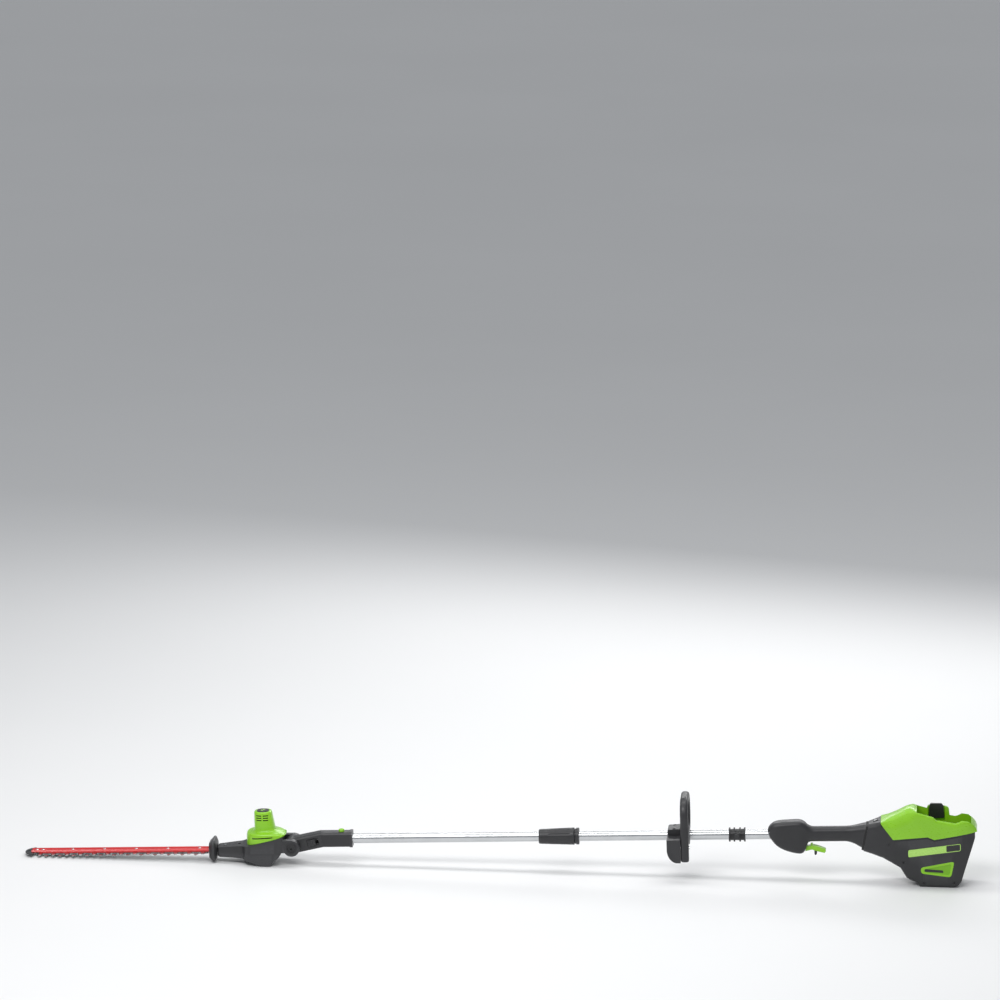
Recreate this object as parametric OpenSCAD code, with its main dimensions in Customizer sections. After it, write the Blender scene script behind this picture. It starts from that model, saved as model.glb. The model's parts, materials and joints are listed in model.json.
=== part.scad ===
// Pole hedge trimmer: a battery-powered cutting head on a two-piece pole.
// All pieces are drawn in the tool's own frame: the pole axis is X, the blade points to -X, up is +Z,
// and X = 0 stands over the middle of the rear foot. rest_pose() then lays the tool on the ground,
// with the foot's flat face at Z = 0 and its middle at the origin.

/* [Poles] */
// Outer diameter of both poles
pole_d = 28; // [27:0.5:29]
// Wall thickness of both poles
pole_wall = 1.5; // [1:0.25:2]
// Length of the twist sleeve that joins the poles
sleeve_len = 100; // [90:1:100]

/* [Blades] */
// Tooth positions along each side, shared by the two blades in turn
tooth_count = 25; // [15:2:25]
// Distance between neighbouring tooth positions
tooth_pitch = 19.3; // [18.5:0.1:19.3]
// Width of the blades over their tooth tips
blade_w = 70; // [64:1:70]
// Thickness of each blade
blade_t = 2.4; // [2:0.1:2.4]
// Travel of each blade to each side of its middle
stroke = 8; // [6:0.5:8]

/* [Head] */
// Outer width of the gearcase
case_w = 100; // [96:1:102]
// Outer width over the two pivot ears
ear_w = 84; // [80:1:84]
// Teeth of the drive gear
gear_teeth = 32; // [32]
// Teeth of the motor pinion
pinion_teeth = 10; // [10]
// Gear module
gear_module = 1.25; // [1.25]

/* [Handles] */
// Outer width of the loop handle
loop_w = 152; // [140:1:156]
// Height of the loop handle's top above the pole axis
loop_top = 119; // [112:1:122]
// Width of the rear grip
grip_w = 36; // [34:1:38]

/* [Housing] */
// Outer width of the rear housing
housing_w = 92; // [90:1:94]
// Inner width of the battery bay
bay_w = 76; // [74:1:76]
// Height of the pole axis above the foot
foot_drop = 146; // [145:1:147]

/* [Hidden] */
$fn = 48;
eps = 0.1;
fit = 0.1;
gap = 0.3;

// Height of the gearcase's lowest face below the pole axis, and where it lies along the tool
case_drop = 66.5;
case_low_x = -1873;
rest_tilt = atan((foot_drop - case_drop) / -case_low_x);

// Stations along the pole axis
front_pole_x = -1703;
pole_joint_x = -1103;
rear_pole_end_x = -372;
latch_x = -1660;
lead_z = -6;
socket_end_x = -1629;
bay_floor_z = -88;

// Blades and the bar that carries them
lower_blade_z = -35.6;
upper_blade_z = lower_blade_z + blade_t + gap;
bar_z = upper_blade_z + blade_t + gap;
tooth_x0 = -2515;
bolt_d = 6;
slot_w = bolt_d + 2 * gap;
bolt_x = [for (i = [0:4]) -2064 - 90 * i];
all_bolt_x = concat(bolt_x, [-2509]);
tip_bolt_x = -2526;
tip_x = -2559;
tip_r = 38;
tip_plate_t = 2.5;
hang_x = -2549;
hang_r = 4;
spine_w = 36;
shank_w = 30;

// Drive
gear_r = gear_module * gear_teeth / 2;
pinion_r = gear_module * pinion_teeth / 2;
motor_x = -1879;
gear_x = motor_x - gear_r - pinion_r;
throw = stroke;
crank_r = 14;
window_r = crank_r + throw + 0.5;
tail_r = window_r + 5.5;
tail_half = stroke + 0.4;
pressure_angle = 25;
addendum = 0.8;
dedendum = 1;
backlash = 0.25;

// Head pivot
pivot_x = -1799;
pivot_z = -17;
ear_r = 23;
ear_in = 24;
pivot_d = 12;
elbow_a = atan2(-pivot_z, 83);
elbow_half = 21.5;
elbow_w = 42;
slider_travel = 8;

// Housing
side_y = housing_w / 2;
trigger_x = -362;
trigger_z = -42;

// ---------- Shared shapes ----------

module rest_pose() {
    translate([-foot_drop * sin(rest_tilt), 0, foot_drop * cos(rest_tilt)])
        rotate([0, -rest_tilt, 0])
            children();
}

// Outline with each corner cut by a short curve that starts c before it
function soft(p, c, n = 4) = [
    for (i = [0:len(p) - 1])
        let (b = p[i])
        let (a = p[(i + len(p) - 1) % len(p)] - b)
        let (d = p[(i + 1) % len(p)] - b)
        let (s = b + a / norm(a) * min(c, 0.45 * norm(a)))
        let (e = b + d / norm(d) * min(c, 0.45 * norm(d)))
        for (k = [0:n])
            let (t = k / n)
            s * (1 - t) * (1 - t) + b * 2 * t * (1 - t) + e * t * t
];

// Both halves of a plan outline, from its -X end to its +X end
function both_sides(p) = concat(p, [for (i = [len(p) - 1:-1:0]) [p[i].x, -p[i].y]]);

// Height of the foot's face in the tool frame
function foot_z(x) = -foot_drop - x * tan(rest_tilt);

module rod_x(d, x0, x1, y = 0, z = 0) {
    translate([x0, y, z])
        rotate([0, 90, 0])
            cylinder(d = d, h = x1 - x0);
}

module rod_y(d, y0, y1, x, z) {
    translate([x, y0, z])
        rotate([-90, 0, 0])
            cylinder(d = d, h = y1 - y0);
}

module rod_z(d, z0, z1, x, y = 0) {
    translate([x, y, z0])
        cylinder(d = d, h = z1 - z0);
}

module block(x, y, z) {
    translate([x[0], y[0], z[0]])
        cube([x[1] - x[0], y[1] - y[0], z[1] - z[0]]);
}

// Side outline in X and Z, given a thickness in Y
module side_slab(p, y0, y1) {
    translate([0, y1, 0])
        rotate([90, 0, 0])
            linear_extrude(y1 - y0)
                polygon(p);
}

// Plan outline in X and Y, given a height in Z
module plan_slab(p, z0, z1) {
    translate([0, 0, z0])
        linear_extrude(z1 - z0)
            polygon(p);
}

// Cross-section in Y and Z, given a length in X
module cross_slab(x0, x1) {
    translate([x0, 0, 0])
        rotate([90, 0, 90])
            linear_extrude(x1 - x0)
                children();
}

module round_rect(w, h, r) {
    square([w - 2 * r, h], center = true);
    square([w, h - 2 * r], center = true);
    for (x = [-1, 1])
        for (y = [-1, 1])
            translate([x * (w / 2 - r), y * (h / 2 - r)])
                circle(r);
}

module slot_2d(x, half, r) {
    translate([x, 0])
        square([2 * half, 2 * r], center = true);
    for (s = [-1, 1])
        translate([x + s * half, 0])
            circle(r);
}

module half_left() {
    intersection() {
        children();
        block([-3000, 500], [-300, 0], [-300, 300]);
    }
}

module half_right() {
    intersection() {
        children();
        block([-3000, 500], [0, 300], [-300, 300]);
    }
}

// Screw along its local -Z, head on top, with its seat at the local origin
module screw(head_d, head_h, shank_d, len) {
    difference() {
        cylinder(d = head_d, h = head_h);
        translate([0, 0, head_h / 2])
            cylinder(d = head_d * 0.5, h = head_h, $fn = 6);
    }
    translate([0, 0, -len])
        cylinder(d = shank_d, h = len);
}

// ---------- Cutting head ----------

case_plan = soft(both_sides([[-2012, 20], [-1940, 30], [-1928, case_w / 2 - 3], [-1915, case_w / 2],
    [-1846, case_w / 2], [-1828, 43], [-1824, 42]]), 7);
case_plan_inner = soft(both_sides([[-2009, 17.2], [-1941, 26.8], [-1929, case_w / 2 - 6],
    [-1916, case_w / 2 - 3], [-1848, case_w / 2 - 3], [-1831, 40], [-1827, 39]]), 6);
case_top = [[-2012, -17], [-1940, -11], [-1928, -9], [-1884, 2], [-1814, 17], [-1818, 5], [-1824, -5]];
case_top_inner = [[-2009, -20], [-1941, -14.2], [-1929, -12.2], [-1884, -1.3], [-1824, 11], [-1827, -6]];
case_belly = [[-2012, -44], [-1940, -47], [-1929, -50], [-1907, -56], [-1888, -case_drop],
    [-1860, -case_drop], [-1851, -54], [-1829, -36]];
case_belly_inner = [[-2009, -41], [-1942, -44], [-1930, -47], [-1906, -53], [-1887, -case_drop + 3.5],
    [-1862, -case_drop + 3.5], [-1853, -52], [-1832, -34]];
parting_z = -29.5;
upper_outline = soft(concat(case_top, [[-1824, -60], [-2012, -60]]), 5);
lower_outline = soft(concat(case_belly, [[-1824, 0], [-2012, 0]]), 9);
case_screw_at = [[-1921, 41], [-1852, 41]];
neck_screw_x = [-1990, -1950];

module case_posts(z0, z1) {
    for (p = case_screw_at)
        for (s = [-1, 1])
            rod_z(12, z0, z1, p.x, s * p.y);
}

module case_post_bores(z0, z1) {
    for (p = case_screw_at)
        for (s = [-1, 1])
            rod_z(3.6, z0, z1, p.x, s * p.y);
}

module pivot_ear(y0, y1) {
    rod_y(2 * ear_r, y0, y1, pivot_x, pivot_z);
    block([-1840, pivot_x], [y0, y1], [parting_z, pivot_z + ear_r]);
}

module gearcase_upper() {
    color([0.16, 0.16, 0.165])
        rest_pose()
            difference() {
                union() {
                    difference() {
                        intersection() {
                            side_slab(upper_outline, -60, 60);
                            plan_slab(case_plan, parting_z, 40);
                        }
                        intersection() {
                            side_slab(concat(case_top_inner, [[-1827, -31], [-2009, -31]]), -60, 60);
                            plan_slab(case_plan_inner, -60, 40);
                        }
                    }
                    pivot_ear(ear_in, ear_w / 2);
                    pivot_ear(-ear_w / 2, -ear_in);
                    rod_z(28, -18, -2, gear_x);
                    rod_z(30, -10, 12, motor_x);
                    intersection() {
                        case_posts(parting_z, 20);
                        side_slab(upper_outline, -60, 60);
                        plan_slab(case_plan, parting_z, 40);
                    }
                }
                rod_y(2 * ear_r + 2 * gap, -ear_in, ear_in, pivot_x, pivot_z);
                rod_y(pivot_d, -60, 60, pivot_x, pivot_z);
                for (s = [-1, 1])
                    rod_y(30, s > 0 ? ear_w / 2 - 3 : -ear_w / 2 - 1, s > 0 ? ear_w / 2 + 1 : -ear_w / 2 + 3,
                        pivot_x, pivot_z);
                rod_z(22, -19, -12, gear_x);
                rod_z(12, -12.1, -7, gear_x);
                rod_z(19, 4, 13, motor_x);
                rod_z(9, -12, 5, motor_x);
                case_post_bores(-40, -18);
                for (x = neck_screw_x) {
                    rod_z(9.4, -16.5, 0, x);
                    rod_z(4.2, -24, -16, x);
                }
            }
}

module gearcase_lower() {
    color([0.15, 0.15, 0.155])
        rest_pose()
            difference() {
                union() {
                    difference() {
                        intersection() {
                            side_slab(lower_outline, -60, 60);
                            plan_slab(case_plan, -80, parting_z);
                        }
                        intersection() {
                            side_slab(soft(concat(case_belly_inner, [[-1828, -10], [-2009, -10]]), 8), -60, 60);
                            plan_slab(case_plan_inner, -80, -28);
                        }
                    }
                    intersection() {
                        union() {
                            rod_z(28, -60, -40, gear_x);
                            case_posts(-62, parting_z);
                        }
                        side_slab(lower_outline, -60, 60);
                        plan_slab(case_plan, -80, parting_z);
                    }
                }
                rod_z(22, -46, -39, gear_x);
                block([-2013, -2008], [-17.2, 17.2], [-37, -28]);
                case_post_bores(-70, -20);
                for (p = case_screw_at)
                    for (s = [-1, 1])
                        rod_z(8.4, -70, -43, p.x, s * p.y);
            }
}

module gearcase_screws() {
    color("silver")
        rest_pose() {
            for (x = neck_screw_x)
                translate([x, 0, -16.5])
                    screw(8.4, 3, 4, 7);
            for (p = case_screw_at)
                for (s = [-1, 1])
                    translate([p.x, s * p.y, -43])
                        mirror([0, 0, 1])
                            screw(7.6, 3, 3.4, 22);
        }
}

module blade_guard() {
    color([0.17, 0.17, 0.175])
        rest_pose()
            difference() {
                union() {
                    translate([0, 0, -26])
                        cross_slab(-2016, -2012)
                            round_rect(74, 60, 14);
                    difference() {
                        translate([0, 0, -26]) {
                            cross_slab(-2028, -2016)
                                round_rect(76, 62, 15);
                            cross_slab(-2034, -2027)
                                round_rect(62, 50, 12);
                        }
                        translate([0, 0, -26]) {
                            cross_slab(-2026, -2016)
                                round_rect(71, 57, 12.5);
                            cross_slab(-2035, -2025)
                                round_rect(57, 45, 10);
                        }
                    }
                }
                block([-2020, -2010], [-17.2, 17.2], [-37, bar_z]);
            }
}

cover_x = [-1875, -1879.5];
cover_r = [30.5, 24.5];
cover_z = [29, 84];
vent_z = 60;
cover_lean = atan((cover_x[0] - cover_x[1]) / (cover_z[1] - cover_z[0]));

// Everything above the gearcase's sloping top, up to the height z
module above_case(z) {
    side_slab([[-1930, -9.2], [-1884, 2.2], [-1812, 17.8], [-1812, z], [-1930, z]], -60, 60);
}

module cover_shape(wall) {
    intersection() {
        cover_flare(wall);
        above_case(60);
    }
    intersection() {
        translate([cover_x[0], 0, cover_z[0]])
            rotate([0, -cover_lean, 0])
                translate([0, 0, -26])
                    cylinder(r1 = cover_r[0] + 2.8 - wall, r2 = cover_r[1] - 1 - wall, h = 92, $fn = 64);
        above_case(cover_z[1] - wall);
    }
}

module cover_flare(wall) {
    base = both_sides([[-1928 + wall, 38 - wall], [-1918 + wall, 49 - wall], [-1852, 49 - wall],
        [-1828 - wall, 30 - wall], [-1817 - wall, 14 - wall]]);
    hull() {
        plan_slab(base, -12, 15 - wall);
        rod_z(2 * (cover_r[0] - wall), 20, cover_z[0] + 1 - wall, cover_x[0]);
    }
}

module motor_cover() {
    color([0.55, 0.8, 0.12])
        rest_pose()
            difference() {
                cover_shape(0);
                cover_shape(2.5);
                for (row = [0:2])
                    for (x = [-1889, -1870])
                        block([x - 7.5, x + 7.5], [-60, 60], [vent_z + 6.4 * row, vent_z + 6.4 * row + 3]);
            }
}

module cover_badge() {
    color([0.08, 0.08, 0.1])
        rest_pose()
            translate([cover_x[1], 0, cover_z[1]])
                linear_extrude(1.2)
                    round_rect(34, 28, 12);
}

module motor_stator() {
    color([0.45, 0.42, 0.4])
        rest_pose() {
            difference() {
                rod_z(44, 12, 60, motor_x);
                rod_z(41, 14, 61, motor_x);
                rod_z(12, 11, 15, motor_x);
            }
            difference() {
                rod_z(41, 20, 54, motor_x);
                rod_z(27.4, 19, 55, motor_x);
            }
        }
}

module rotor_bearing() {
    color("silver")
        rest_pose()
            difference() {
                rod_z(19, 4, 10, motor_x);
                rod_z(6 + fit, 3, 11, motor_x);
            }
}

module gear_bearings() {
    color("silver")
        rest_pose()
            for (z = [-46, -18])
                difference() {
                    rod_z(22, z, z + 6, gear_x);
                    rod_z(10 + fit, z - 1, z + 7, gear_x);
                }
}

module support_bar() {
    color([0.85, 0.1, 0.1])
        rest_pose()
            difference() {
                cross_slab(-2540, -2016)
                    polygon([[-15, bar_z], [-15, -26], [-12, -22.5], [-7.5, -22.5], [-5.6, -26.4],
                        [5.6, -26.4], [7.5, -22.5], [12, -22.5], [15, -26], [15, bar_z]]);
                block([-2541, -2517], [-16, 16], [bar_z - 1, bar_z + tip_plate_t]);
                rod_z(11, -40, 0, -2541);
                for (x = concat(all_bolt_x, [tip_bolt_x]))
                    rod_z(bolt_d + 2 * fit, -40, 0, x);
            }
}

bolt_seat_z = -26.4;
nut_z = lower_blade_z - gap;

module blade_bolt(x, bottom) {
    translate([x, 0, bolt_seat_z])
        rotate_extrude()
            polygon([[0, bottom - bolt_seat_z], [bolt_d / 2, bottom - bolt_seat_z], [bolt_d / 2, 0], [5, 0],
                [5, 1.4], [4.3, 2.7], [3, 3.6], [1.5, 4], [0, 4.1]]);
}

module blade_bolts() {
    color("silver")
        rest_pose() {
            for (x = all_bolt_x)
                blade_bolt(x, nut_z - 3);
            blade_bolt(tip_bolt_x, bar_z);
        }
}

module blade_nuts() {
    color("silver")
        rest_pose()
            for (x = all_bolt_x)
                difference() {
                    translate([x, 0, nut_z - 2.9])
                        cylinder(d = 11, h = 2.9, $fn = 6);
                    rod_z(bolt_d + fit, nut_z - 4, nut_z + 1, x);
                }
}

module tip_guard() {
    color([0.12, 0.12, 0.12])
        rest_pose()
            translate([0, 0, bar_z])
                linear_extrude(tip_plate_t)
                    difference() {
                        union() {
                            intersection() {
                                translate([tip_x + tip_r, 0])
                                    circle(tip_r, $fn = 96);
                                translate([tip_x - 1, -tip_r])
                                    square([27, 2 * tip_r]);
                            }
                            translate([-2540, -14.8])
                                square([22.9, 29.6]);
                        }
                        translate([hang_x, 0])
                            circle(hang_r);
                        translate([tip_bolt_x, 0])
                            circle(bolt_d / 2 + fit);
                    }
}

module pivot_caps() {
    color([0.14, 0.14, 0.14])
        rest_pose()
            for (s = [-1, 1])
                difference() {
                    rod_y(29.8, s > 0 ? ear_w / 2 - 3 : -ear_w / 2 - 2.5, s > 0 ? ear_w / 2 + 2.5 : -ear_w / 2 + 3,
                        pivot_x, pivot_z);
                    rod_y(20.6, -60, 60, pivot_x, pivot_z);
                }
}

module pivot_bolt() {
    color("silver")
        rest_pose()
            difference() {
                union() {
                    rod_y(pivot_d, -ear_w / 2 + 3, ear_w / 2, pivot_x, pivot_z);
                    rod_y(20, -ear_w / 2, -ear_w / 2 + 3, pivot_x, pivot_z);
                }
                translate([pivot_x, -ear_w / 2 - 1, pivot_z])
                    rotate([-90, 0, 0])
                        cylinder(d = 9, h = 5, $fn = 6);
            }
}

module pivot_nut() {
    color("silver")
        rest_pose()
            difference() {
                translate([pivot_x, ear_w / 2 - 3, pivot_z])
                    rotate([-90, 0, 0])
                        cylinder(d = 20, h = 4, $fn = 6);
                rod_y(pivot_d + fit, ear_w / 2 - 4, ear_w / 2 + 2, pivot_x, pivot_z);
            }
}

// Ring with a notch for each 15 degrees of head tilt
module tilt_ratchet() {
    color("dimgray")
        rest_pose()
            difference() {
                rod_y(40, -3.6, 3.6, pivot_x, pivot_z);
                rod_y(pivot_d + fit, -5, 5, pivot_x, pivot_z);
                for (a = [-60:15:90])
                    translate([pivot_x, 0, pivot_z])
                        rotate([0, -elbow_a + a, 0])
                            block([17.5, 21], [-5, 5], [-1.6, 1.6]);
            }
}

// ---------- Gear train and blades ----------

// Angle between a tooth's middle and its flank at radius r
function flank(r, teeth) =
    let (rp = gear_module * teeth / 2)
    let (rb = rp * cos(pressure_angle))
    let (a = acos(min(1, rb / r)))
    (90 / rp * (gear_module * PI / 2 - backlash) / PI)
    + (tan(pressure_angle) * 180 / PI - pressure_angle) - (tan(a) * 180 / PI - a);

module toothed(teeth) {
    rp = gear_module * teeth / 2;
    root = rp - dedendum * gear_module;
    start = max(root, rp * cos(pressure_angle));
    steps = 5;
    r = [for (k = [0:steps]) start + (rp + addendum * gear_module - start) * k / steps];
    up = concat([[root, flank(start, teeth)]], [for (q = r) [q, flank(q, teeth)]]);
    polygon([
        for (i = [0:teeth - 1])
            for (k = [0:2 * len(up) - 1])
                let (e = k < len(up) ? up[k] : up[2 * len(up) - 1 - k])
                let (a = 360 / teeth * i + (k < len(up) ? -e[1] : e[1]))
                e[0] * [cos(a), sin(a)]
    ]);
}

module drive_gear() {
    color("lightgray")
        rest_pose()
            translate([gear_x, 0, -28])
                linear_extrude(8)
                    difference() {
                        toothed(gear_teeth);
                        circle(d = 10);
                        for (a = [0:60:300])
                            rotate(a)
                                translate([12, 0])
                                    circle(2.5);
                    }
}

module crankshaft() {
    color("gainsboro")
        rest_pose() {
            rod_z(10, -45.8, -12.4, gear_x);
            rod_z(2 * crank_r, upper_blade_z - 0.1, upper_blade_z + blade_t + 0.1, gear_x + throw);
            rod_z(2 * crank_r, lower_blade_z - 0.1, lower_blade_z + blade_t + 0.1, gear_x - throw);
        }
}

module rotor_shaft() {
    color("lightsteelblue")
        rest_pose() {
            rod_z(6, -19, 72, motor_x);
            translate([motor_x, 0, -29])
                rotate(180 / pinion_teeth)
                    linear_extrude(10.1)
                        toothed(pinion_teeth);
            rod_z(26, 22, 52, motor_x);
        }
}

module cooling_fan() {
    color("dimgray")
        rest_pose()
            translate([motor_x, 0, 0])
                difference() {
                    union() {
                        translate([0, 0, 62])
                            cylinder(r = 17.5, h = 1.6);
                        translate([0, 0, 62])
                            cylinder(r = 5, h = 8);
                        for (a = [0:40:320])
                            rotate(a)
                                translate([4, -0.6, 62])
                                    cube([13, 1.2, 7]);
                    }
                    translate([0, 0, 60])
                        cylinder(d = 6 + 0.05, h = 12);
                }
}

// parity 0 puts teeth on the even positions of the -Y side, parity 1 on the odd ones
module blade_2d(parity) {
    rear_x = tooth_x0 + tooth_pitch * (tooth_count - 1) + 10;
    difference() {
        union() {
            translate([tooth_x0 - 11, -spine_w / 2])
                square([rear_x - tooth_x0 + 11, spine_w]);
            translate([rear_x - 1, -shank_w / 2])
                square([gear_x - tail_half - tail_r / 2 - rear_x + 1, shank_w]);
            slot_2d(gear_x, tail_half, tail_r);
            for (s = [-1, 1])
                for (i = [(s < 0 ? parity : 1 - parity):2:tooth_count - 1])
                    translate([tooth_x0 + tooth_pitch * i, 0])
                        rotate(s < 0 ? 180 : 0)
                            polygon([[8, spine_w / 2 - 1], [8, spine_w / 2], [3.5, blade_w / 2],
                                [-3.5, blade_w / 2], [-8, spine_w / 2], [-8, spine_w / 2 - 1]]);
        }
        for (x = all_bolt_x)
            slot_2d(x, stroke, slot_w / 2);
        slot_2d(gear_x, tail_half, window_r);
    }
}

module upper_blade() {
    color("silver")
        rest_pose()
            translate([0, 0, upper_blade_z])
                linear_extrude(blade_t)
                    blade_2d(0);
}

module lower_blade() {
    color("gray")
        rest_pose()
            translate([0, 0, lower_blade_z])
                linear_extrude(blade_t)
                    blade_2d(1);
}

// ---------- Elbow, lock and latch ----------

// Frame with its origin on the head pivot and its X along the elbow
module elbow_frame() {
    translate([pivot_x, 0, pivot_z])
        rotate([0, -elbow_a, 0])
            children();
}

slider_u = [46, 69.6];
cavity_u = 78;
channel_u = 76.4;

module elbow() {
    difference() {
        union() {
            rod_y(2 * ear_r, -ear_in + gap, ear_in - gap, pivot_x, pivot_z);
            elbow_frame()
                cross_slab(0, 86)
                    round_rect(2 * elbow_half, 2 * elbow_half, 9);
            cross_slab(-1719.6, socket_end_x)
                round_rect(elbow_w, elbow_w, 9);
            cross_slab(socket_end_x - 7, socket_end_x)
                round_rect(elbow_w + 3, elbow_w + 3, 10);
        }
        rod_y(41.2, -4.2, 4.2, pivot_x, pivot_z);
        rod_y(16, -30, 30, pivot_x, pivot_z);
        rod_x(pole_d + 2 * fit, front_pole_x - 1, socket_end_x + 1);
        elbow_frame() {
            block([24, cavity_u], [-15, 15], [-12, 12]);
            block([20, 25], [-3.6, 3.6], [-4, 4]);
            block([slider_u[0] - 0.5, channel_u], [-30, 30], [-6, 6]);
        }
        rod_z(16.6, 10, 30, latch_x);
    }
}

module elbow_left() {
    color([0.17, 0.17, 0.175])
        rest_pose()
            half_left()
                elbow();
}

module elbow_right() {
    color([0.17, 0.17, 0.175])
        rest_pose()
            half_right()
                elbow();
}

module pivot_bushings() {
    color("goldenrod")
        rest_pose()
            for (y = [[-ear_in + gap, -4.2], [4.2, ear_in - gap]])
                difference() {
                    rod_y(16, y[0], y[1], pivot_x, pivot_z);
                    rod_y(pivot_d + fit, -30, 30, pivot_x, pivot_z);
                }
}

module lock_slider() {
    color([0.2, 0.2, 0.2])
        rest_pose()
            elbow_frame()
                difference() {
                    union() {
                        block(slider_u, [-12, 12], [-9, 9]);
                        block([21.2, slider_u[0] + 1], [-3, 3], [-3.4, 3.4]);
                        block([slider_u[0], 68], [-24, 24], [-5, 5]);
                        for (s = [-1, 1])
                            block([slider_u[0], 68], [s > 0 ? 22 : -26, s > 0 ? 26 : -22], [-9, 9]);
                    }
                    rod_x(9, 50, 71);
                }
}

module lock_spring() {
    color("silver")
        rest_pose()
            elbow_frame()
                difference() {
                    rod_x(7.8, 58.6, cavity_u);
                    rod_x(5, 58, cavity_u + 1);
                }
}

module latch_button() {
    color([0.55, 0.8, 0.12])
        rest_pose()
            difference() {
                union() {
                    rod_z(16, 18.6, 26, latch_x);
                    intersection() {
                        rod_z(16, 25.9, 29, latch_x);
                        translate([latch_x, 0, 16.5])
                            sphere(r = 12.5);
                    }
                    rod_z(6, 6, 19, latch_x);
                }
                difference() {
                    rod_z(13.4, 18, 25.6, latch_x);
                    rod_z(7, 17, 26, latch_x);
                }
            }
}

module latch_spring() {
    color("silver")
        rest_pose()
            difference() {
                rod_z(12.4, 14.2, 21.2, latch_x);
                rod_z(8, 13, 22, latch_x);
            }
}

// ---------- Poles ----------

module pole_tube(x0, x1) {
    difference() {
        rod_x(pole_d, x0, x1);
        rod_x(pole_d - 2 * pole_wall, x0 - 1, x1 + 1);
    }
}

module front_pole() {
    color("gainsboro")
        rest_pose()
            difference() {
                pole_tube(front_pole_x, pole_joint_x);
                rod_z(7, 5, 20, latch_x);
            }
}

module rear_pole() {
    color("gainsboro")
        rest_pose()
            pole_tube(pole_joint_x + 0.2, rear_pole_end_x);
}

module coupler_core() {
    color("gray")
        rest_pose()
            difference() {
                rod_x(pole_d - 2 * pole_wall - fit, -1150, -1056);
                rod_x(20, -1151, -1055);
            }
}

sleeve_x0 = pole_joint_x - 2;
sleeve_x1 = sleeve_x0 + sleeve_len;
collar_d = 33;

module coupler_collar() {
    color([0.15, 0.15, 0.15])
        rest_pose()
            difference() {
                union() {
                    rod_x(collar_d, -1078, -1003);
                    rod_x(43, -1004, -1000);
                    rod_x(47, -1000.1, -992);
                }
                rod_x(pole_d + 2 * fit, -1090, -990);
            }
}

module coupler_sleeve() {
    color([0.13, 0.13, 0.13])
        rest_pose()
            difference() {
                translate([sleeve_x0, 0, 0])
                    rotate([0, 90, 0])
                        cylinder(d1 = 41, d2 = 49, h = sleeve_len);
                rod_x(pole_d + 2 * gap, sleeve_x0 - 1, sleeve_x1 + 1);
                rod_x(collar_d + 2 * gap, -1079, sleeve_x1 + 1);
                for (a = [0:30:330])
                    rotate([a, 0, 0])
                        rod_x(5, sleeve_x0 + 30, sleeve_x1 - 12, 0, 25.4);
            }
}

module pole_leads() {
    color([0.1, 0.1, 0.1])
        rest_pose() {
            rod_x(6, -1695, -1110, 0, lead_z);
            rod_x(6, -1100, -380, 0, lead_z);
            rod_x(12, -1110, -1100, 0, -2);
        }
}

// ---------- Loop handle ----------

clamp_x = [-744, -706];
loop_x = [-705.5, -682.5];
loop_bore = pole_d + 2 * gap;
clamp_w = 52;
limb_y = 53;

module handle_loop() {
    color([0.15, 0.15, 0.15])
        rest_pose()
            difference() {
                union() {
                    translate([0, 0, (loop_top - 3) / 2])
                        cross_slab(loop_x[0], loop_x[1])
                            round_rect(loop_w, loop_top + 3, 52);
                    block(loop_x, [-loop_w / 2, -limb_y], [-58, 55]);
                    block(loop_x, [-loop_w / 2 + 10, 30], [-24, 20]);
                    rod_x(2 * clamp_w / 2, loop_x[0], loop_x[1], 0, 0);
                }
                translate([0, 0, (loop_top - 22 + 26) / 2])
                    cross_slab(loop_x[0] - 1, loop_x[1] + 1)
                        round_rect(loop_w - 46, loop_top - 22 - 26, 30);
                rod_x(loop_bore, loop_x[0] - 1, loop_x[1] + 1);
                rod_x(5.4, loop_x[0] - 1, loop_x[1] + 1, -64, -18);
            }
}

// Lower half of the clamp, with the round-fronted hand guard on its -Y side
module handle_clamp() {
    color([0.15, 0.15, 0.15])
        rest_pose()
            difference() {
                side_slab(concat([[clamp_x[1], 6.8], [clamp_x[0], 6.8]],
                    [for (a = [180:10:260]) [clamp_x[1] - 8 + 30 * cos(a), -22 + 38 * sin(a)]],
                    [[clamp_x[1], -60]]), -loop_w / 2, clamp_w / 2);
                rod_x(loop_bore, clamp_x[0] - 1, clamp_x[1] + 1);
                rod_x(5.4, clamp_x[0] + 8, clamp_x[1] + 1, -64, -18);
                for (s = [-1, 1])
                    rod_z(5.4, -24, 10, -725, s * 20);
            }
}

module handle_cap() {
    color([0.15, 0.15, 0.15])
        rest_pose()
            difference() {
                side_slab(soft([[clamp_x[0], 7.2], [clamp_x[0] + 1, 23], [clamp_x[1], 25], [clamp_x[1], 7.2]], 5),
                    -clamp_w / 2, clamp_w / 2);
                rod_x(loop_bore, clamp_x[0] - 1, clamp_x[1] + 1);
                for (s = [-1, 1]) {
                    rod_z(5.4, 0, 30, -725, s * 20);
                    rod_z(9.6, 18, 30, -725, s * 20);
                }
            }
}

module handle_bolts() {
    color("silver")
        rest_pose() {
            for (s = [-1, 1])
                translate([-725, s * 20, 18])
                    screw(9, 4, 5, 40);
            translate([loop_x[1], -64, -18])
                rotate([0, 90, 0])
                    screw(9, 3.5, 5, 50);
        }
}

// ---------- Strap collar ----------

collar_x = [-573, -527];

module strap_collar() {
    difference() {
        union() {
            rod_x(31.8, collar_x[0], collar_x[1]);
            for (x = [collar_x[0], -560, -544, collar_x[1] - 4])
                rod_x(40, x, x + 4);
            block([-557, -543], [-24, 24], [-7, 7]);
        }
        rod_x(pole_d + 2 * fit, collar_x[0] - 1, collar_x[1] + 1);
        for (s = [-1, 1])
            rod_z(3.6, -10, 10, -550, s * 20);
    }
}

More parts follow.
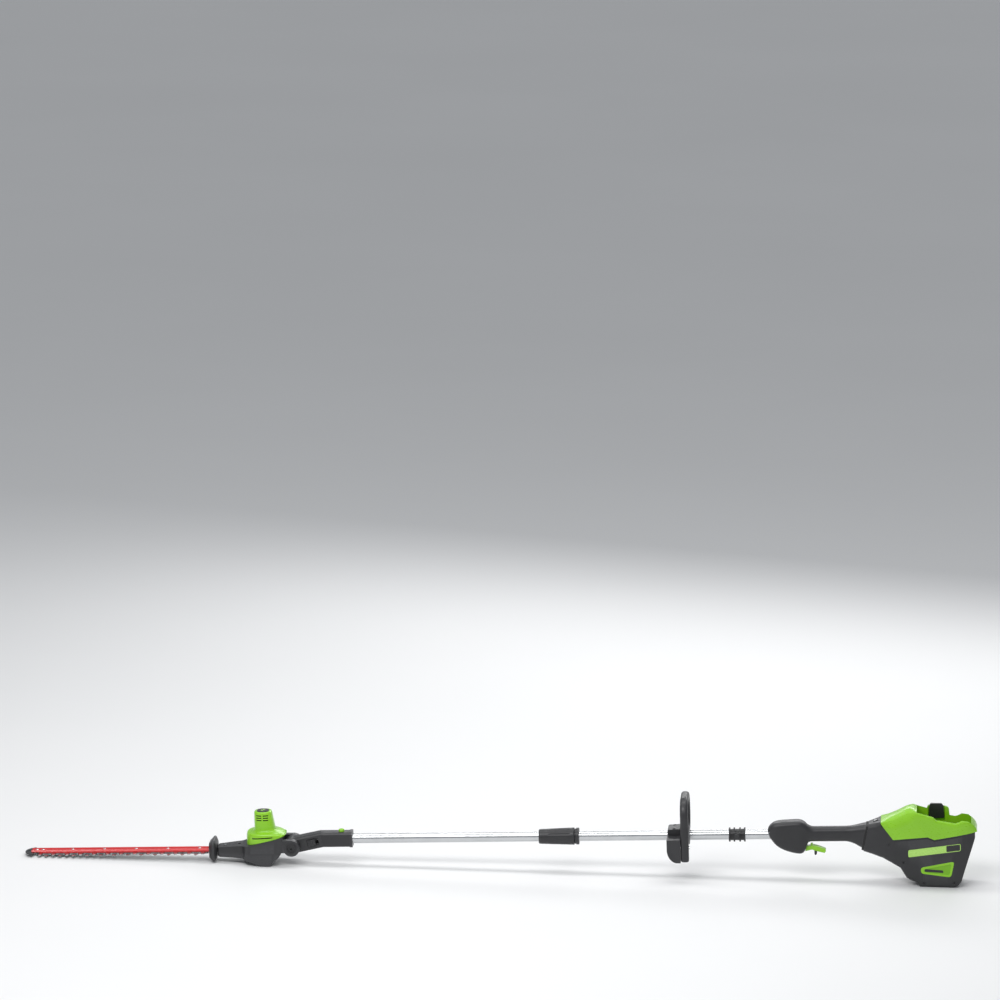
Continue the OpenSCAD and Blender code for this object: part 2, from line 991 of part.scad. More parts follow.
module strap_collar_upper() {
    color([0.1, 0.1, 0.1])
        rest_pose()
            intersection() {
                strap_collar();
                block([-600, -500], [-40, 40], [0, 40]);
            }
}

module strap_collar_lower() {
    color([0.1, 0.1, 0.1])
        rest_pose()
            intersection() {
                strap_collar();
                block([-600, -500], [-40, 40], [-40, 0]);
            }
}

// ---------- Grip and trigger ----------

grip_side = concat(
    soft([[-452, -15], [-463, 5], [-464, 14], [-446, 34], [-410, 38.5], [-376, 40], [-360, 35], [-340, 20]], 8),
    [[-300, 21], [-240, 21], [-215, 24], [-190, 29.5], [-205, -44], [-218, -31], [-240, -22], [-300, -21],
    [-354, -20]],
    soft([[-358, -30], [-361, -46], [-372, -54], [-385, -53], [-425, -41], [-443, -28]], 5)
);
grip_half = grip_w / 2;
grip_plan = both_sides([[-466, 15], [-455, 20], [-435, 24], [-385, 24], [-356, grip_half], [-232, grip_half],
    [-193, 27], [-180, 31]]);

module grip() {
    difference() {
        intersection() {
            side_slab(grip_side, -40, 40);
            plan_slab(grip_plan, -80, 60);
        }
        rod_x(pole_d + 2 * fit, -470, rear_pole_end_x + 1);
        block([rear_pole_end_x, -208], [-grip_half + 3.5, grip_half - 3.5], [-16.5, 16.5]);
        block([-452, -362], [-9, 9], [-51.5, -16]);
        block([-380, -350], [-9, 9], [-51.5, -24]);
        block([-357, -316], [-9, 9], [-24, -15]);
        rod_y(5 + fit, -16, 16, trigger_x, trigger_z);
    }
}

module grip_left() {
    color([0.17, 0.17, 0.175])
        rest_pose()
            half_left()
                grip();
}

module grip_right() {
    color([0.17, 0.17, 0.175])
        rest_pose()
            half_right()
                grip();
}

module trigger_pin() {
    color("silver")
        rest_pose()
            rod_y(5, -15.5, 15.5, trigger_x, trigger_z);
}

module trigger() {
    color([0.55, 0.8, 0.12])
        rest_pose()
            difference() {
                union() {
                    side_slab(soft([[-370, -35], [-349, -33], [-341, -31], [-325, -35], [-303, -44],
                        [-306, -54], [-330, -48], [-343, -43], [-352, -46], [-370, -49]], 4), -8.5, 8.5);
                    block([-346, -340], [-4, 4], [-33, -26.5]);
                }
                rod_y(5 + 2 * fit, -20, 20, trigger_x, trigger_z);
                block([-337.4, -326.6], [-2, 2], [-60, -20]);
            }
}

module trigger_lock() {
    color([0.1, 0.1, 0.1])
        rest_pose()
            side_slab(soft([[-336.6, -37], [-327.4, -37], [-329, -58], [-332, -62], [-336, -60]], 3), -1.6, 1.6);
}

module switch_body() {
    color("dimgray")
        rest_pose() {
            block([-352, -312], [-9, 9], [-11, 12]);
            block([-345, -341], [-3, 3], [-13, -10.9]);
        }
}

module power_button() {
    color([0.2, 0.2, 0.2])
        rest_pose()
            translate([-164, 0, 34.6])
                rotate([0, -15, 0])
                    linear_extrude(4)
                        round_rect(13, 13, 3);
}

// Soft ring in the joint between the grip and the rear housing
joint_top = [-190, 29.5];
joint_low = [-205, -44];
ring_t = 6;

// Point on the slanted joint between grip and housing at the height z, moved dx towards the battery
function joint_at(z, dx = 0) =
    [joint_top.x + (z - joint_top.y) * (joint_top.x - joint_low.x) / (joint_top.y - joint_low.y) + dx, z];

module isolator_ring() {
    color([0.05, 0.05, 0.05])
        rest_pose()
            difference() {
                intersection() {
                    side_slab([joint_at(27.5), joint_at(27.5, ring_t), joint_at(-42, ring_t), joint_at(-42)],
                        -40, 40);
                    plan_slab(both_sides([[-206, 23], [-180, 27]]), -60, 60);
                }
                block([-210, -180], [-13, 13], [-14, 14]);
            }
}

// ---------- Rear housing ----------

split_line = [[-148, 35], [-116, -8], [-20, -1], [-2, -9], [117, 11]];
housing_low = [[75, -124], [68, -foot_drop + 16], [51, foot_z(51)], [-44, foot_z(-44)], [-50, -133], [-64, -128],
    [-80, -120], [-97, -91], [-122, -76], [-144, -64]];
housing_front = [joint_at(-47, ring_t), joint_at(31, ring_t), [-150, 41]];
housing_side = concat(housing_front, split_line, [housing_low[0], [70, -134], [62, -143]],
    [for (i = [2:len(housing_low) - 1]) housing_low[i]]);
housing_plan = both_sides([[-206, 23], [-193, 27], [-165, 36], [-140, 42], [-110, side_y], [60, side_y],
    [100, side_y - 4], [118, side_y - 12]]);
bay_y = bay_w / 2;
cradle_t = 2.5;
bay = [[-50, 100], [-42, bay_floor_z], [72, bay_floor_z], [100, 11], [100, 100]];
cradle_top = -14;
windows = [[-41, -88], [53, -71], [43, -117], [-40, -105]];
badge = [[-75, -37], [-75, -58], [71, -41], [71, -20]];
housing_screw_at = [[-128, -22], [-88, -72], [-32, -132], [52, -132]];

module housing() {
    difference() {
        intersection() {
            side_slab(housing_side, -60, 60);
            plan_slab(housing_plan, -200, 100);
        }
        side_slab([[-54, 60], [-46, bay_floor_z - 4], [75, bay_floor_z - 4], [104, 11], [104, 60]],
            -bay_y - cradle_t - fit, bay_y + cradle_t + fit);
        side_slab([[-190, 18], [-152, 31], [-120, -14], [-58, -8], [-52, -86], [-92, -84], [-118, -70], [-146, -58],
            [-198, -38]], -20, 20);
        side_slab([[-118, -17], [-58, -11], [-52, -86], [-92, -84], [-118, -66]], -38, 38);
        side_slab([[-40, bay_floor_z - 9], [66, bay_floor_z - 9], [58, -130], [46, -140], [-38, -137],
            [-42, -126]], -40, 40);
        for (s = [-1, 1]) {
            side_slab(soft(windows, 9), s > 0 ? side_y - 3 : -side_y - 1, s > 0 ? side_y + 1 : -side_y + 3);
            side_slab(soft(badge, 5), s > 0 ? side_y - 1.2 : -side_y - 1, s > 0 ? side_y + 1 : -side_y + 1.2);
        }
        for (p = housing_screw_at) {
            rod_y(8, -60, -side_y + 5, p.x, p.y);
            rod_y(3.6, -side_y + 4, -16, p.x, p.y);
        }
        translate([-164, 0, 34.6])
            rotate([0, -15, 0])
                translate([0, 0, -1.3])
                    linear_extrude(12)
                        round_rect(13.8, 13.8, 3.4);
    }
}

module rear_shell_left() {
    color([0.17, 0.17, 0.175])
        rest_pose()
            half_left()
                housing();
}

module rear_shell_right() {
    color([0.17, 0.17, 0.175])
        rest_pose()
            half_right()
                housing();
}

module housing_screws() {
    color("silver")
        rest_pose()
            for (p = housing_screw_at)
                translate([p.x, -side_y + 5, p.y])
                    rotate([90, 0, 0])
                        screw(7.4, 3, 3.4, 24);
}

rim = [[117, 11], [114, 26], [93, 42], [75, 44], [64, 38], [56, 36], [4, 46], [-4, 55], [-39, 66], [-60, 76],
    [-74, 75], [-112, 56]];
latch_pocket = [-19, 28];

module battery_cover() {
    color([0.55, 0.8, 0.12])
        rest_pose()
            difference() {
                intersection() {
                    union() {
                        side_slab(concat(split_line, soft(rim, 5), [[-150, 41.2]]), -60, 60);
                        side_slab([[-24, 20], [42, 20], [39, 62], [32, 66], [-16, 70], [-21, 66]], bay_y, 60);
                    }
                    plan_slab(both_sides([[-151, 38.5], [-130, 42], [-105, side_y], [60, side_y],
                        [100, side_y - 4], [118, side_y - 12]]), -100, 200);
                }
                side_slab(bay, -bay_y, bay_y);
                side_slab([[-134, 30], [-112, -2], [-56, 3], [-57, 66], [-76, 64], [-112, 46]], -38, 38);
                block(latch_pocket, [bay_y - 1, 44.2], [24, 90]);
            }
}

module battery_latch() {
    color([0.1, 0.1, 0.1])
        rest_pose()
            intersection() {
                side_slab(soft([[-17.5, 31], [26.5, 31], [24, 66], [20, 73], [-12, 74], [-15, 66]], 4), 36.4, 43.8);
                block([-30, 40], [36, 44], [20, 80]);
            }
}

module battery_cradle() {
    color([0.12, 0.12, 0.12])
        rest_pose()
            difference() {
                intersection() {
                    side_slab([[-53.6, 60], [-45.7, bay_floor_z - 3.6], [74.8, bay_floor_z - 3.6], [103.6, 11],
                        [103.6, 60]], -bay_y - cradle_t, bay_y + cradle_t);
                    block([-100, 200], [-60, 60], [-200, cradle_top]);
                }
                side_slab(bay, -bay_y, bay_y);
            }
}

module terminal_block() {
    color([0.1, 0.1, 0.1])
        rest_pose() {
            block([-34, 4], [-20, 20], [bay_floor_z, bay_floor_z + 9]);
            for (y = [-13, 0, 13])
                block([-28, -2], [y - 0.8, y + 0.8], [bay_floor_z + 8.9, bay_floor_z + 22]);
        }
}

module controller_board() {
    color("darkgreen")
        rest_pose() {
            block([-34, 52], [-36, 36], [-118, -116.4]);
            block([-20, 4], [-20, 20], [-116.5, -104]);
            rod_z(12, -116.5, -100, 26, 14);
            rod_z(12, -116.5, -100, 26, -14);
        }
}

// Window bezels on both sides of the housing, each with a slot along its middle
module side_windows() {
    color([0.55, 0.8, 0.12])
        rest_pose()
            for (s = [-1, 1])
                difference() {
                    side_slab(soft(windows, 9), s > 0 ? side_y - 2.9 : -side_y - 0.6, s > 0 ? side_y + 0.6 : -side_y + 2.9);
                    side_slab(soft([[-32, -93], [45, -79], [38, -111], [-32, -101]], 6),
                        s > 0 ? side_y - 1 : -side_y - 2, s > 0 ? side_y + 2 : -side_y + 1);
                }
}

module side_badges() {
    color([0.6, 0.85, 0.35])
        rest_pose()
            for (s = [-1, 1])
                side_slab(soft(badge, 5), s > 0 ? side_y - 1.1 : -side_y - 0.3, s > 0 ? side_y + 0.3 : -side_y + 1.1);
}

gearcase_upper();
gearcase_lower();
blade_guard();
motor_cover();
cover_badge();
motor_stator();
rotor_bearing();
gear_bearings();
support_bar();
blade_bolts();
blade_nuts();
tip_guard();
gearcase_screws();
pivot_caps();
pivot_bolt();
pivot_nut();
tilt_ratchet();
crankshaft();
drive_gear();
rotor_shaft();
cooling_fan();
upper_blade();
lower_blade();
elbow_left();
elbow_right();
pivot_bushings();
lock_spring();
latch_spring();
lock_slider();
latch_button();
front_pole();
coupler_core();
coupler_collar();
coupler_sleeve();
rear_pole();
pole_leads();
handle_loop();
handle_clamp();
handle_cap();
handle_bolts();
strap_collar_upper();
strap_collar_lower();
housing_screws();
grip_left();
grip_right();
trigger_pin();
trigger();
trigger_lock();
switch_body();
isolator_ring();
power_button();
rear_shell_left();
rear_shell_right();
battery_cover();
battery_cradle();
terminal_block();
controller_board();
battery_latch();
side_windows();
side_badges();
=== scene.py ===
import json
import math

import bmesh
import bpy
from mathutils import Matrix, Vector


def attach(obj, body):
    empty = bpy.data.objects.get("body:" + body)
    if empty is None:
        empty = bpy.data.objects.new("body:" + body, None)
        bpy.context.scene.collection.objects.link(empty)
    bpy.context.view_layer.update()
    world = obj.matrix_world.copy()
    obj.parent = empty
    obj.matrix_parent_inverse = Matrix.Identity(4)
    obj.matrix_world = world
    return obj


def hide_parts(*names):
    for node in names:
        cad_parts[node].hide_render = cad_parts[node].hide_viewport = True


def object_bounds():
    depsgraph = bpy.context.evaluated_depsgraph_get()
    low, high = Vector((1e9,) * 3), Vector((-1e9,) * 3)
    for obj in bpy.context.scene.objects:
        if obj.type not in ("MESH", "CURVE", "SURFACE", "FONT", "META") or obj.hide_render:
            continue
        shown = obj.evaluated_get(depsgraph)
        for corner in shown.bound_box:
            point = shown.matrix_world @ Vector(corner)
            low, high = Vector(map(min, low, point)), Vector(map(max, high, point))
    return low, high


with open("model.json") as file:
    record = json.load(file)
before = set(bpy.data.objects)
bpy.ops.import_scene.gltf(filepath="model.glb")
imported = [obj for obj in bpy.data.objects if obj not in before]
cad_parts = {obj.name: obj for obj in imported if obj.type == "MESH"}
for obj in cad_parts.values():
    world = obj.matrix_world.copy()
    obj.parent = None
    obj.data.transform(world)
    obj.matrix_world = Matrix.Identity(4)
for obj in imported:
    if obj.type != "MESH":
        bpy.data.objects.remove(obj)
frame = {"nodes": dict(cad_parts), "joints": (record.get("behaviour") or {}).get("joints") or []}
cad_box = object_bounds()

# The tool frame: millimetres, pole axis along X, blade at -X, pole axis at Z = 0.
JOINTS = {j["name"]: j for j in frame["joints"]}
pole_axis = Vector(JOINTS["handle_slide"]["axis"])
tilt = math.atan2(pole_axis.z, pole_axis.x)
PIVOT = Vector((-1799, 0, -17))
turn = Matrix.Rotation(-tilt, 4, "Y")
pivot_row = Vector(JOINTS["head_tilt"]["pos_m"])
TOOL = Matrix.Translation(pivot_row - turn @ (PIVOT * 0.001)) @ turn @ Matrix.Scale(0.001, 4)
FOOT_DROP = 146
MM = 0.001


# ---------- Materials ----------

def new_material(name):
    mat = bpy.data.materials.new(name)
    mat.use_nodes = True
    nodes = mat.node_tree.nodes
    shader = nodes["Principled BSDF"]
    return mat, nodes, mat.node_tree.links, shader


def noise(nodes, links, coords, scale, detail=4.0, stretch=(1, 1, 1)):
    mapping = nodes.new("ShaderNodeMapping")
    mapping.inputs["Scale"].default_value = stretch
    links.new(coords.outputs["Object"], mapping.inputs["Vector"])
    tex = nodes.new("ShaderNodeTexNoise")
    tex.inputs["Scale"].default_value = scale
    tex.inputs["Detail"].default_value = detail
    links.new(mapping.outputs["Vector"], tex.inputs["Vector"])
    return tex


def ramp(nodes, links, source, stops):
    node = nodes.new("ShaderNodeValToRGB")
    while len(node.color_ramp.elements) < len(stops):
        node.color_ramp.elements.new(0.5)
    for element, (place, color) in zip(node.color_ramp.elements, stops):
        element.position = place
        element.color = (*color, 1) if len(color) == 3 else color
    links.new(source, node.inputs["Fac"])
    return node


def grey(v):
    return (v, v, v)


def plastic(name, base, rough, texture=0.12, texture_scale=2600, wear=1.6, coat=0.0, mottling=0.12):
    """Moulded plastic: fine spark texture, slow colour drift, handling marks and paler worn edges."""
    mat, nodes, links, shader = new_material(name)
    coords = nodes.new("ShaderNodeTexCoord")
    drift = noise(nodes, links, coords, 18, 5)
    marks = noise(nodes, links, coords, 150, 8, (1, 1, 3))
    grain = noise(nodes, links, coords, texture_scale, 2)
    dark = tuple(c * (1 - mottling) for c in base)
    pale = tuple(min(1, c * (1 + mottling)) for c in base)
    body = ramp(nodes, links, drift.outputs["Fac"], [(0.3, dark), (0.7, pale)])
    geometry = nodes.new("ShaderNodeNewGeometry")
    edge = ramp(nodes, links, geometry.outputs["Pointiness"], [(0.515, grey(0)), (0.57, grey(1))])
    worn = tuple(min(1, c * wear + 0.012) for c in base)
    mix = nodes.new("ShaderNodeMix")
    mix.data_type = "RGBA"
    mix.inputs["B"].default_value = (*worn, 1)
    scuff = nodes.new("ShaderNodeMath")
    scuff.operation = "MULTIPLY"
    links.new(edge.outputs["Color"], scuff.inputs[0])
    links.new(marks.outputs["Fac"], scuff.inputs[1])
    links.new(scuff.outputs["Value"], mix.inputs["Factor"])
    links.new(body.outputs["Color"], mix.inputs["A"])
    links.new(mix.outputs["Result"], shader.inputs["Base Color"])
    gloss = ramp(nodes, links, marks.outputs["Fac"], [(0.35, grey(rough - 0.06)), (0.65, grey(rough + 0.08))])
    links.new(gloss.outputs["Color"], shader.inputs["Roughness"])
    bump = nodes.new("ShaderNodeBump")
    bump.inputs["Strength"].default_value = texture
    bump.inputs["Distance"].default_value = 0.0002
    links.new(grain.outputs["Fac"], bump.inputs["Height"])
    links.new(bump.outputs["Normal"], shader.inputs["Normal"])
    shader.inputs["Coat Weight"].default_value = coat
    shader.inputs["Coat Roughness"].default_value = 0.12
    return mat


def metal(name, base, rough, stretch=(1, 1, 1), scale=900, strength=0.12, spread=0.1, uneven=0.08):
    """Metal with a drawn, ground or rolled grain that runs along the short side of stretch.

    spread is how far its colour varies, and uneven how far its roughness does.
    """
    mat, nodes, links, shader = new_material(name)
    coords = nodes.new("ShaderNodeTexCoord")
    lines = noise(nodes, links, coords, scale, 3, stretch)
    smudge = noise(nodes, links, coords, 35, 6)
    dark = tuple(c * (1 - spread) for c in base)
    pale = tuple(min(1, c * (1 + spread)) for c in base)
    body = ramp(nodes, links, smudge.outputs["Fac"], [(0.3, dark), (0.7, pale)])
    links.new(body.outputs["Color"], shader.inputs["Base Color"])
    gloss = ramp(nodes, links, lines.outputs["Fac"], [(0.3, grey(rough - uneven)), (0.7, grey(rough + uneven))])
    links.new(gloss.outputs["Color"], shader.inputs["Roughness"])
    bump = nodes.new("ShaderNodeBump")
    bump.inputs["Strength"].default_value = strength
    bump.inputs["Distance"].default_value = 0.00015
    links.new(lines.outputs["Fac"], bump.inputs["Height"])
    links.new(bump.outputs["Normal"], shader.inputs["Normal"])
    shader.inputs["Metallic"].default_value = 1
    return mat


BLACK = plastic("black_moulded", (0.022, 0.022, 0.024), 0.40, 0.16, 2400, 2.2)
DARK = plastic("dark_moulded", (0.011, 0.011, 0.012), 0.38, 0.12, 3000, 3.0)
GREEN = plastic("green_moulded", (0.245, 0.565, 0.010), 0.32, 0.05, 2600, 1.12, 0.2, 0.05)
# Rougher, textured green for the floor of the window recesses; its darker colour is painted shade.
GREEN_TEXTURED_SHADE = plastic("green_textured_painted_shade", (0.19, 0.46, 0.012), 0.48, 0.22, 1800, 1.1, 0, 0.1)
PALE_GREEN = plastic("pale_green_panel", (0.42, 0.72, 0.14), 0.26, 0.03, 3000, 1.05, 0.3, 0.04)
RED = plastic("red_paint", (0.74, 0.010, 0.014), 0.22, 0.06, 900, 0.75, 0.6, 0.05)
RUBBER = plastic("soft_rubber", (0.012, 0.012, 0.012), 0.72, 0.4, 1400, 1.8)
LEAD = plastic("lead_jacket", (0.010, 0.010, 0.011), 0.55, 0.2, 1600, 1.5)
BOARD = plastic("circuit_board", (0.012, 0.10, 0.035), 0.35, 0.1, 700, 1.2)
WHITE = plastic("white_print", (0.75, 0.76, 0.76), 0.4, 0.04, 3000, 1.0, 0, 0.03)
ALUMINIUM = metal("drawn_aluminium", (0.60, 0.61, 0.62), 0.24, (0.02, 1, 1), 300, 0.004, 0.04, 0.012)
BLADE = metal("ground_steel", (0.60, 0.62, 0.62), 0.27, (0.15, 1, 1), 1400, 0.12, 0.12)
# The ground bevels of the teeth are steel painted dark: painted shade for their shaded side walls.
BEVEL = metal("bevel_painted_shade", (0.16, 0.165, 0.17), 0.34, (1, 0.1, 1), 1600, 0.15, 0.25)
BOLT = metal("plated_steel", (0.72, 0.73, 0.74), 0.18, (1, 1, 1), 700, 0.05, 0.06)
GEAR = metal("machined_steel", (0.45, 0.45, 0.46), 0.3, (1, 1, 0.1), 1500, 0.1, 0.1)
BRONZE = metal("sintered_bronze", (0.62, 0.40, 0.16), 0.42, (1, 1, 1), 2200, 0.2, 0.15)
MOTOR = metal("laminations", (0.23, 0.20, 0.17), 0.45, (0.05, 0.05, 1), 1200, 0.3, 0.2)


# ---------- Mesh helpers ----------

def link(mesh, name):
    obj = bpy.data.objects.new(name, mesh)
    bpy.context.scene.collection.objects.link(obj)
    return obj


def mesh_from(verts, faces, name="shape"):
    mesh = bpy.data.meshes.new(name)
    mesh.from_pydata([tuple(v) for v in verts], [], faces)
    mesh.update()
    return link(mesh, name)


def fix_normals(obj):
    bm = bmesh.new()
    bm.from_mesh(obj.data)
    bmesh.ops.recalc_face_normals(bm, faces=bm.faces)
    bm.to_mesh(obj.data)
    bm.free()
    return obj


def apply_modifiers(obj):
    bpy.context.view_layer.update()
    graph = bpy.context.evaluated_depsgraph_get()
    mesh = bpy.data.meshes.new_from_object(obj.evaluated_get(graph))
    obj.modifiers.clear()
    old = obj.data
    obj.data = mesh
    bpy.data.meshes.remove(old)
    return obj


def bevel(obj, width, segments=3, angle=35):
    mod = obj.modifiers.new("bevel", "BEVEL")
    mod.width = width
    mod.segments = segments
    mod.limit_method = "ANGLE"
    mod.angle_limit = math.radians(angle)
    mod.miter_outer = "MITER_ARC"
    return apply_modifiers(obj)


def boolean(obj, cutter, operation="DIFFERENCE", painted_recess_shade=None):
    """Cuts or joins; with a material given for the cut walls, the faces that the cutter leaves take that
    material, which paints shade into the recess.
    """
    mod = obj.modifiers.new("boolean", "BOOLEAN")
    mod.operation = operation
    mod.solver = "EXACT"
    mod.object = cutter
    if painted_recess_shade:
        cutter.data.materials.append(painted_recess_shade)
        mod.material_mode = "TRANSFER"
    apply_modifiers(obj)
    bpy.data.objects.remove(cutter)
    return obj


def clean(obj, merge=0.01, angle=0.6):
    """Merges split corners and joins coplanar triangles into whole faces."""
    bm = bmesh.new()
    bm.from_mesh(obj.data)
    bmesh.ops.remove_doubles(bm, verts=bm.verts, dist=merge)
    bmesh.ops.dissolve_limit(bm, angle_limit=math.radians(angle), verts=bm.verts, edges=bm.edges)
    bmesh.ops.recalc_face_normals(bm, faces=bm.faces)
    bm.to_mesh(obj.data)
    bm.free()
    return obj


def shade(obj, angle=32):
    obj.data.polygons.foreach_set("use_smooth", [True] * len(obj.data.polygons))
    obj.data.set_sharp_from_angle(angle=math.radians(angle))
    mod = obj.modifiers.new("normals", "WEIGHTED_NORMAL")
    mod.keep_sharp = True
    mod.weight = 80
    return obj


def piece(obj, name, body, material, nodes=(), angle=32):
    """Puts a tool-frame shape in its place, with its finish, on its body."""
    obj.name = name
    obj.data.name = name
    obj.data.transform(TOOL)
    if not obj.data.materials:
        obj.data.materials.append(material)
    shade(obj, angle)
    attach(obj, body)
    if nodes:
        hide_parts(*nodes)
    return obj


def from_cad(node):
    """A copy of a CAD node's mesh in the tool frame, ready to be worked on."""
    obj = link(frame["nodes"][node].data.copy(), node + "_work")
    obj.data.materials.clear()
    obj.data.transform(TOOL.inverted())
    return clean(obj)


def box(x, y, z):
    verts = [(a, b, c) for a in x for b in y for c in z]
    faces = [(0, 1, 3, 2), (4, 6, 7, 5), (0, 4, 5, 1), (2, 3, 7, 6), (0, 2, 6, 4), (1, 5, 7, 3)]
    return fix_normals(mesh_from(verts, faces, "box"))


def prism(outline, y0, y1):
    """Side outline in X and Z, given a thickness in Y."""
    n = len(outline)
    verts = [(x, y0, z) for x, z in outline] + [(x, y1, z) for x, z in outline]
    faces = [tuple(range(n)), tuple(range(2 * n - 1, n - 1, -1))]
    faces += [(i, (i + 1) % n, n + (i + 1) % n, n + i) for i in range(n)]
    return fix_normals(mesh_from(verts, faces, "prism"))


def rounded(points, cut, steps=4):
    """Outline with each corner cut by a short curve that starts cut before it."""
    out = []
    n = len(points)
    for i, p in enumerate(points):
        b = Vector(p)
        a, c = Vector(points[i - 1]) - b, Vector(points[(i + 1) % n]) - b
        s = b + a.normalized() * min(cut, 0.45 * a.length)
        e = b + c.normalized() * min(cut, 0.45 * c.length)
        for k in range(steps + 1):
            t = k / steps
            out.append(tuple(s * (1 - t) ** 2 + b * 2 * t * (1 - t) + e * t * t))
    return out


def bridge(rings, closed_ends=True, name="loft"):
    """Skin over rings that all have the same number of points."""
    n = len(rings[0])
    verts = [v for ring in rings for v in ring]
    faces = [(i * n + j, i * n + (j + 1) % n, (i + 1) * n + (j + 1) % n, (i + 1) * n + j)
             for i in range(len(rings) - 1) for j in range(n)]
    if closed_ends:
        faces += [tuple(range(n)), tuple(range(len(rings) * n - 1, (len(rings) - 1) * n - 1, -1))]
    return fix_normals(mesh_from(verts, faces, name))


def weld(obj):
    """Joins the first and last ring of a loft that closes on itself."""
    bm = bmesh.new()
    bm.from_mesh(obj.data)
    bmesh.ops.remove_doubles(bm, verts=bm.verts, dist=0.001)
    bmesh.ops.recalc_face_normals(bm, faces=bm.faces)
    bm.to_mesh(obj.data)
    bm.free()
    return obj


def section(x, top, bottom, half, r_top, r_bottom, corner=6, side=3):
    """Rounded rectangle in Y and Z at one place along the tool."""
    height = top - bottom
    rt = min(r_top, 0.49 * height, 0.98 * half)
    rb = min(r_bottom, 0.49 * height, 0.98 * half)
    corners = [(half - rt, top - rt, rt, 0), (-half + rt, top - rt, rt, 90),
               (-half + rb, bottom + rb, rb, 180), (half - rb, bottom + rb, rb, 270)]
    ring = []
    for i, (cy, cz, r, start) in enumerate(corners):
        arc = [(cy + r * math.cos(math.radians(start + 90 * k / corner)),
                cz + r * math.sin(math.radians(start + 90 * k / corner))) for k in range(corner + 1)]
        ny, nz, nr, ns = corners[(i + 1) % 4]
        nxt = (ny + nr * math.cos(math.radians(ns)), nz + nr * math.sin(math.radians(ns)))
        gap = [(arc[-1][0] + (nxt[0] - arc[-1][0]) * k / side, arc[-1][1] + (nxt[1] - arc[-1][1]) * k / side)
               for k in range(1, side)]
        ring += arc + gap
    return [(x, y, z) for y, z in ring]


def smooth_keys(keys, step):
    """Rows of (x, values...) joined by smooth curves through every row, sampled about every step."""
    rows = []
    for i in range(len(keys) - 1):
        a, b = keys[i], keys[i + 1]
        before, after = keys[max(0, i - 1)], keys[min(len(keys) - 1, i + 2)]
        count = max(1, int(abs(b[0] - a[0]) / step))
        span = b[0] - a[0]
        for k in range(count):
            t = k / count
            row = [a[0] + span * t]
            for j in range(1, len(a)):
                ma = (0.5 * span * ((b[j] - a[j]) / span + (a[j] - before[j]) / max(a[0] - before[0], 1e-6))
                      if i else b[j] - a[j])
                mb = (0.5 * span * ((b[j] - a[j]) / span + (after[j] - b[j]) / max(after[0] - b[0], 1e-6))
                      if i < len(keys) - 2 else b[j] - a[j])
                low, high = min(a[j], b[j]), max(a[j], b[j])
                h = ((2 * t ** 3 - 3 * t * t + 1) * a[j] + (t ** 3 - 2 * t * t + t) * ma
                     + (-2 * t ** 3 + 3 * t * t) * b[j] + (t ** 3 - t * t) * mb)
                row.append(min(high, max(low, h)))
            rows.append(row)
    rows.append(list(keys[-1]))
    return rows


def along(keys, x):
    """Straight-line reading of (x, value) pairs."""
    for (x0, v0), (x1, v1) in zip(keys, keys[1:]):
        if x <= x1:
            return v0 + (v1 - v0) * max(0, x - x0) / (x1 - x0)
    return keys[-1][1]


def half_of(obj, side, seam=0.15):
    """The part of a closed shape on one side of the tool's middle plane, closed again."""
    bm = bmesh.new()
    bm.from_mesh(obj.data)
    geom = list(bm.verts) + list(bm.edges) + list(bm.faces)
    cut = bmesh.ops.bisect_plane(bm, geom=geom, dist=1e-4, plane_co=(0, side * seam, 0),
                                 plane_no=(0, -side, 0), clear_outer=True)
    rim = [e for e in cut["geom_cut"] if isinstance(e, bmesh.types.BMEdge)]
    bmesh.ops.holes_fill(bm, edges=rim, sides=0)
    bmesh.ops.recalc_face_normals(bm, faces=bm.faces)
    mesh = bpy.data.meshes.new(obj.name + "_half")
    bm.to_mesh(mesh)
    bm.free()
    return link(mesh, obj.name + "_half")


def join(objects):
    bm = bmesh.new()
    for obj in objects:
        bm.from_mesh(obj.data)
    mesh = bpy.data.meshes.new("joined")
    bm.to_mesh(mesh)
    bm.free()
    for obj in objects:
        bpy.data.objects.remove(obj)
    return link(mesh, "joined")


def lathe_x(profile, steps=64, flute=None):
    """Body of revolution about the pole axis from (x, radius) pairs. flute(x, angle) takes some radius away."""
    rings = []
    for x, r in profile:
        ring = []
        for k in range(steps):
            a = 2 * math.pi * k / steps
            q = r - (flute(x, a) if flute else 0)
            ring.append((x, q * math.cos(a), q * math.sin(a)))
        rings.append(ring)
    return rings


# ---------- Cutting head ----------

def refined(node, body, material, width=0.5, segments=2, angle=35, name=None):
    """A CAD piece with every outer edge rounded over."""
    obj = bevel(from_cad(node), width, segments, angle)
    return piece(obj, name or node + "_finished", body, material, [node])


COVER_BASE = [(-1930, -9.2), (-1884, 2.2), (-1812, 17.8)]


def superellipse(cx, a, b, power, angle):
    c, s = math.cos(angle), math.sin(angle)
    return (cx + a * math.copysign(abs(c) ** (2 / power), c), b * math.copysign(abs(s) ** (2 / power), s))


COVER_TOP_X = -1879.5


def cover_ring(share, rise, flat, height, shrink=0.0, steps=96):
    """One level of the motor cover.

    share blends its foot into the tower, and flat blends the sloping base into a level.
    """
    z = max(height, 29)
    r = 29.6 - 5 * (z - 29) / 55 - shrink
    cx = -1875 + (COVER_TOP_X + 1875) * (z - 29) / 55
    ring = []
    for k in range(steps):
        a = 2 * math.pi * k / steps
        fx, fy = superellipse(-1871.8, 56, 48.8, 2.7, a)
        tx, ty = superellipse(cx, r, r * 0.97, 2.5, a)
        x, y = fx + (tx - fx) * share, fy + (ty - fy) * share
        foot = along(COVER_BASE, x)
        level = height - max(0, x + 1852) * 0.17 * (1 - share)
        ring.append((x, y, (foot + rise) * (1 - flat) + max(level, foot + 0.3) * flat))
    return ring


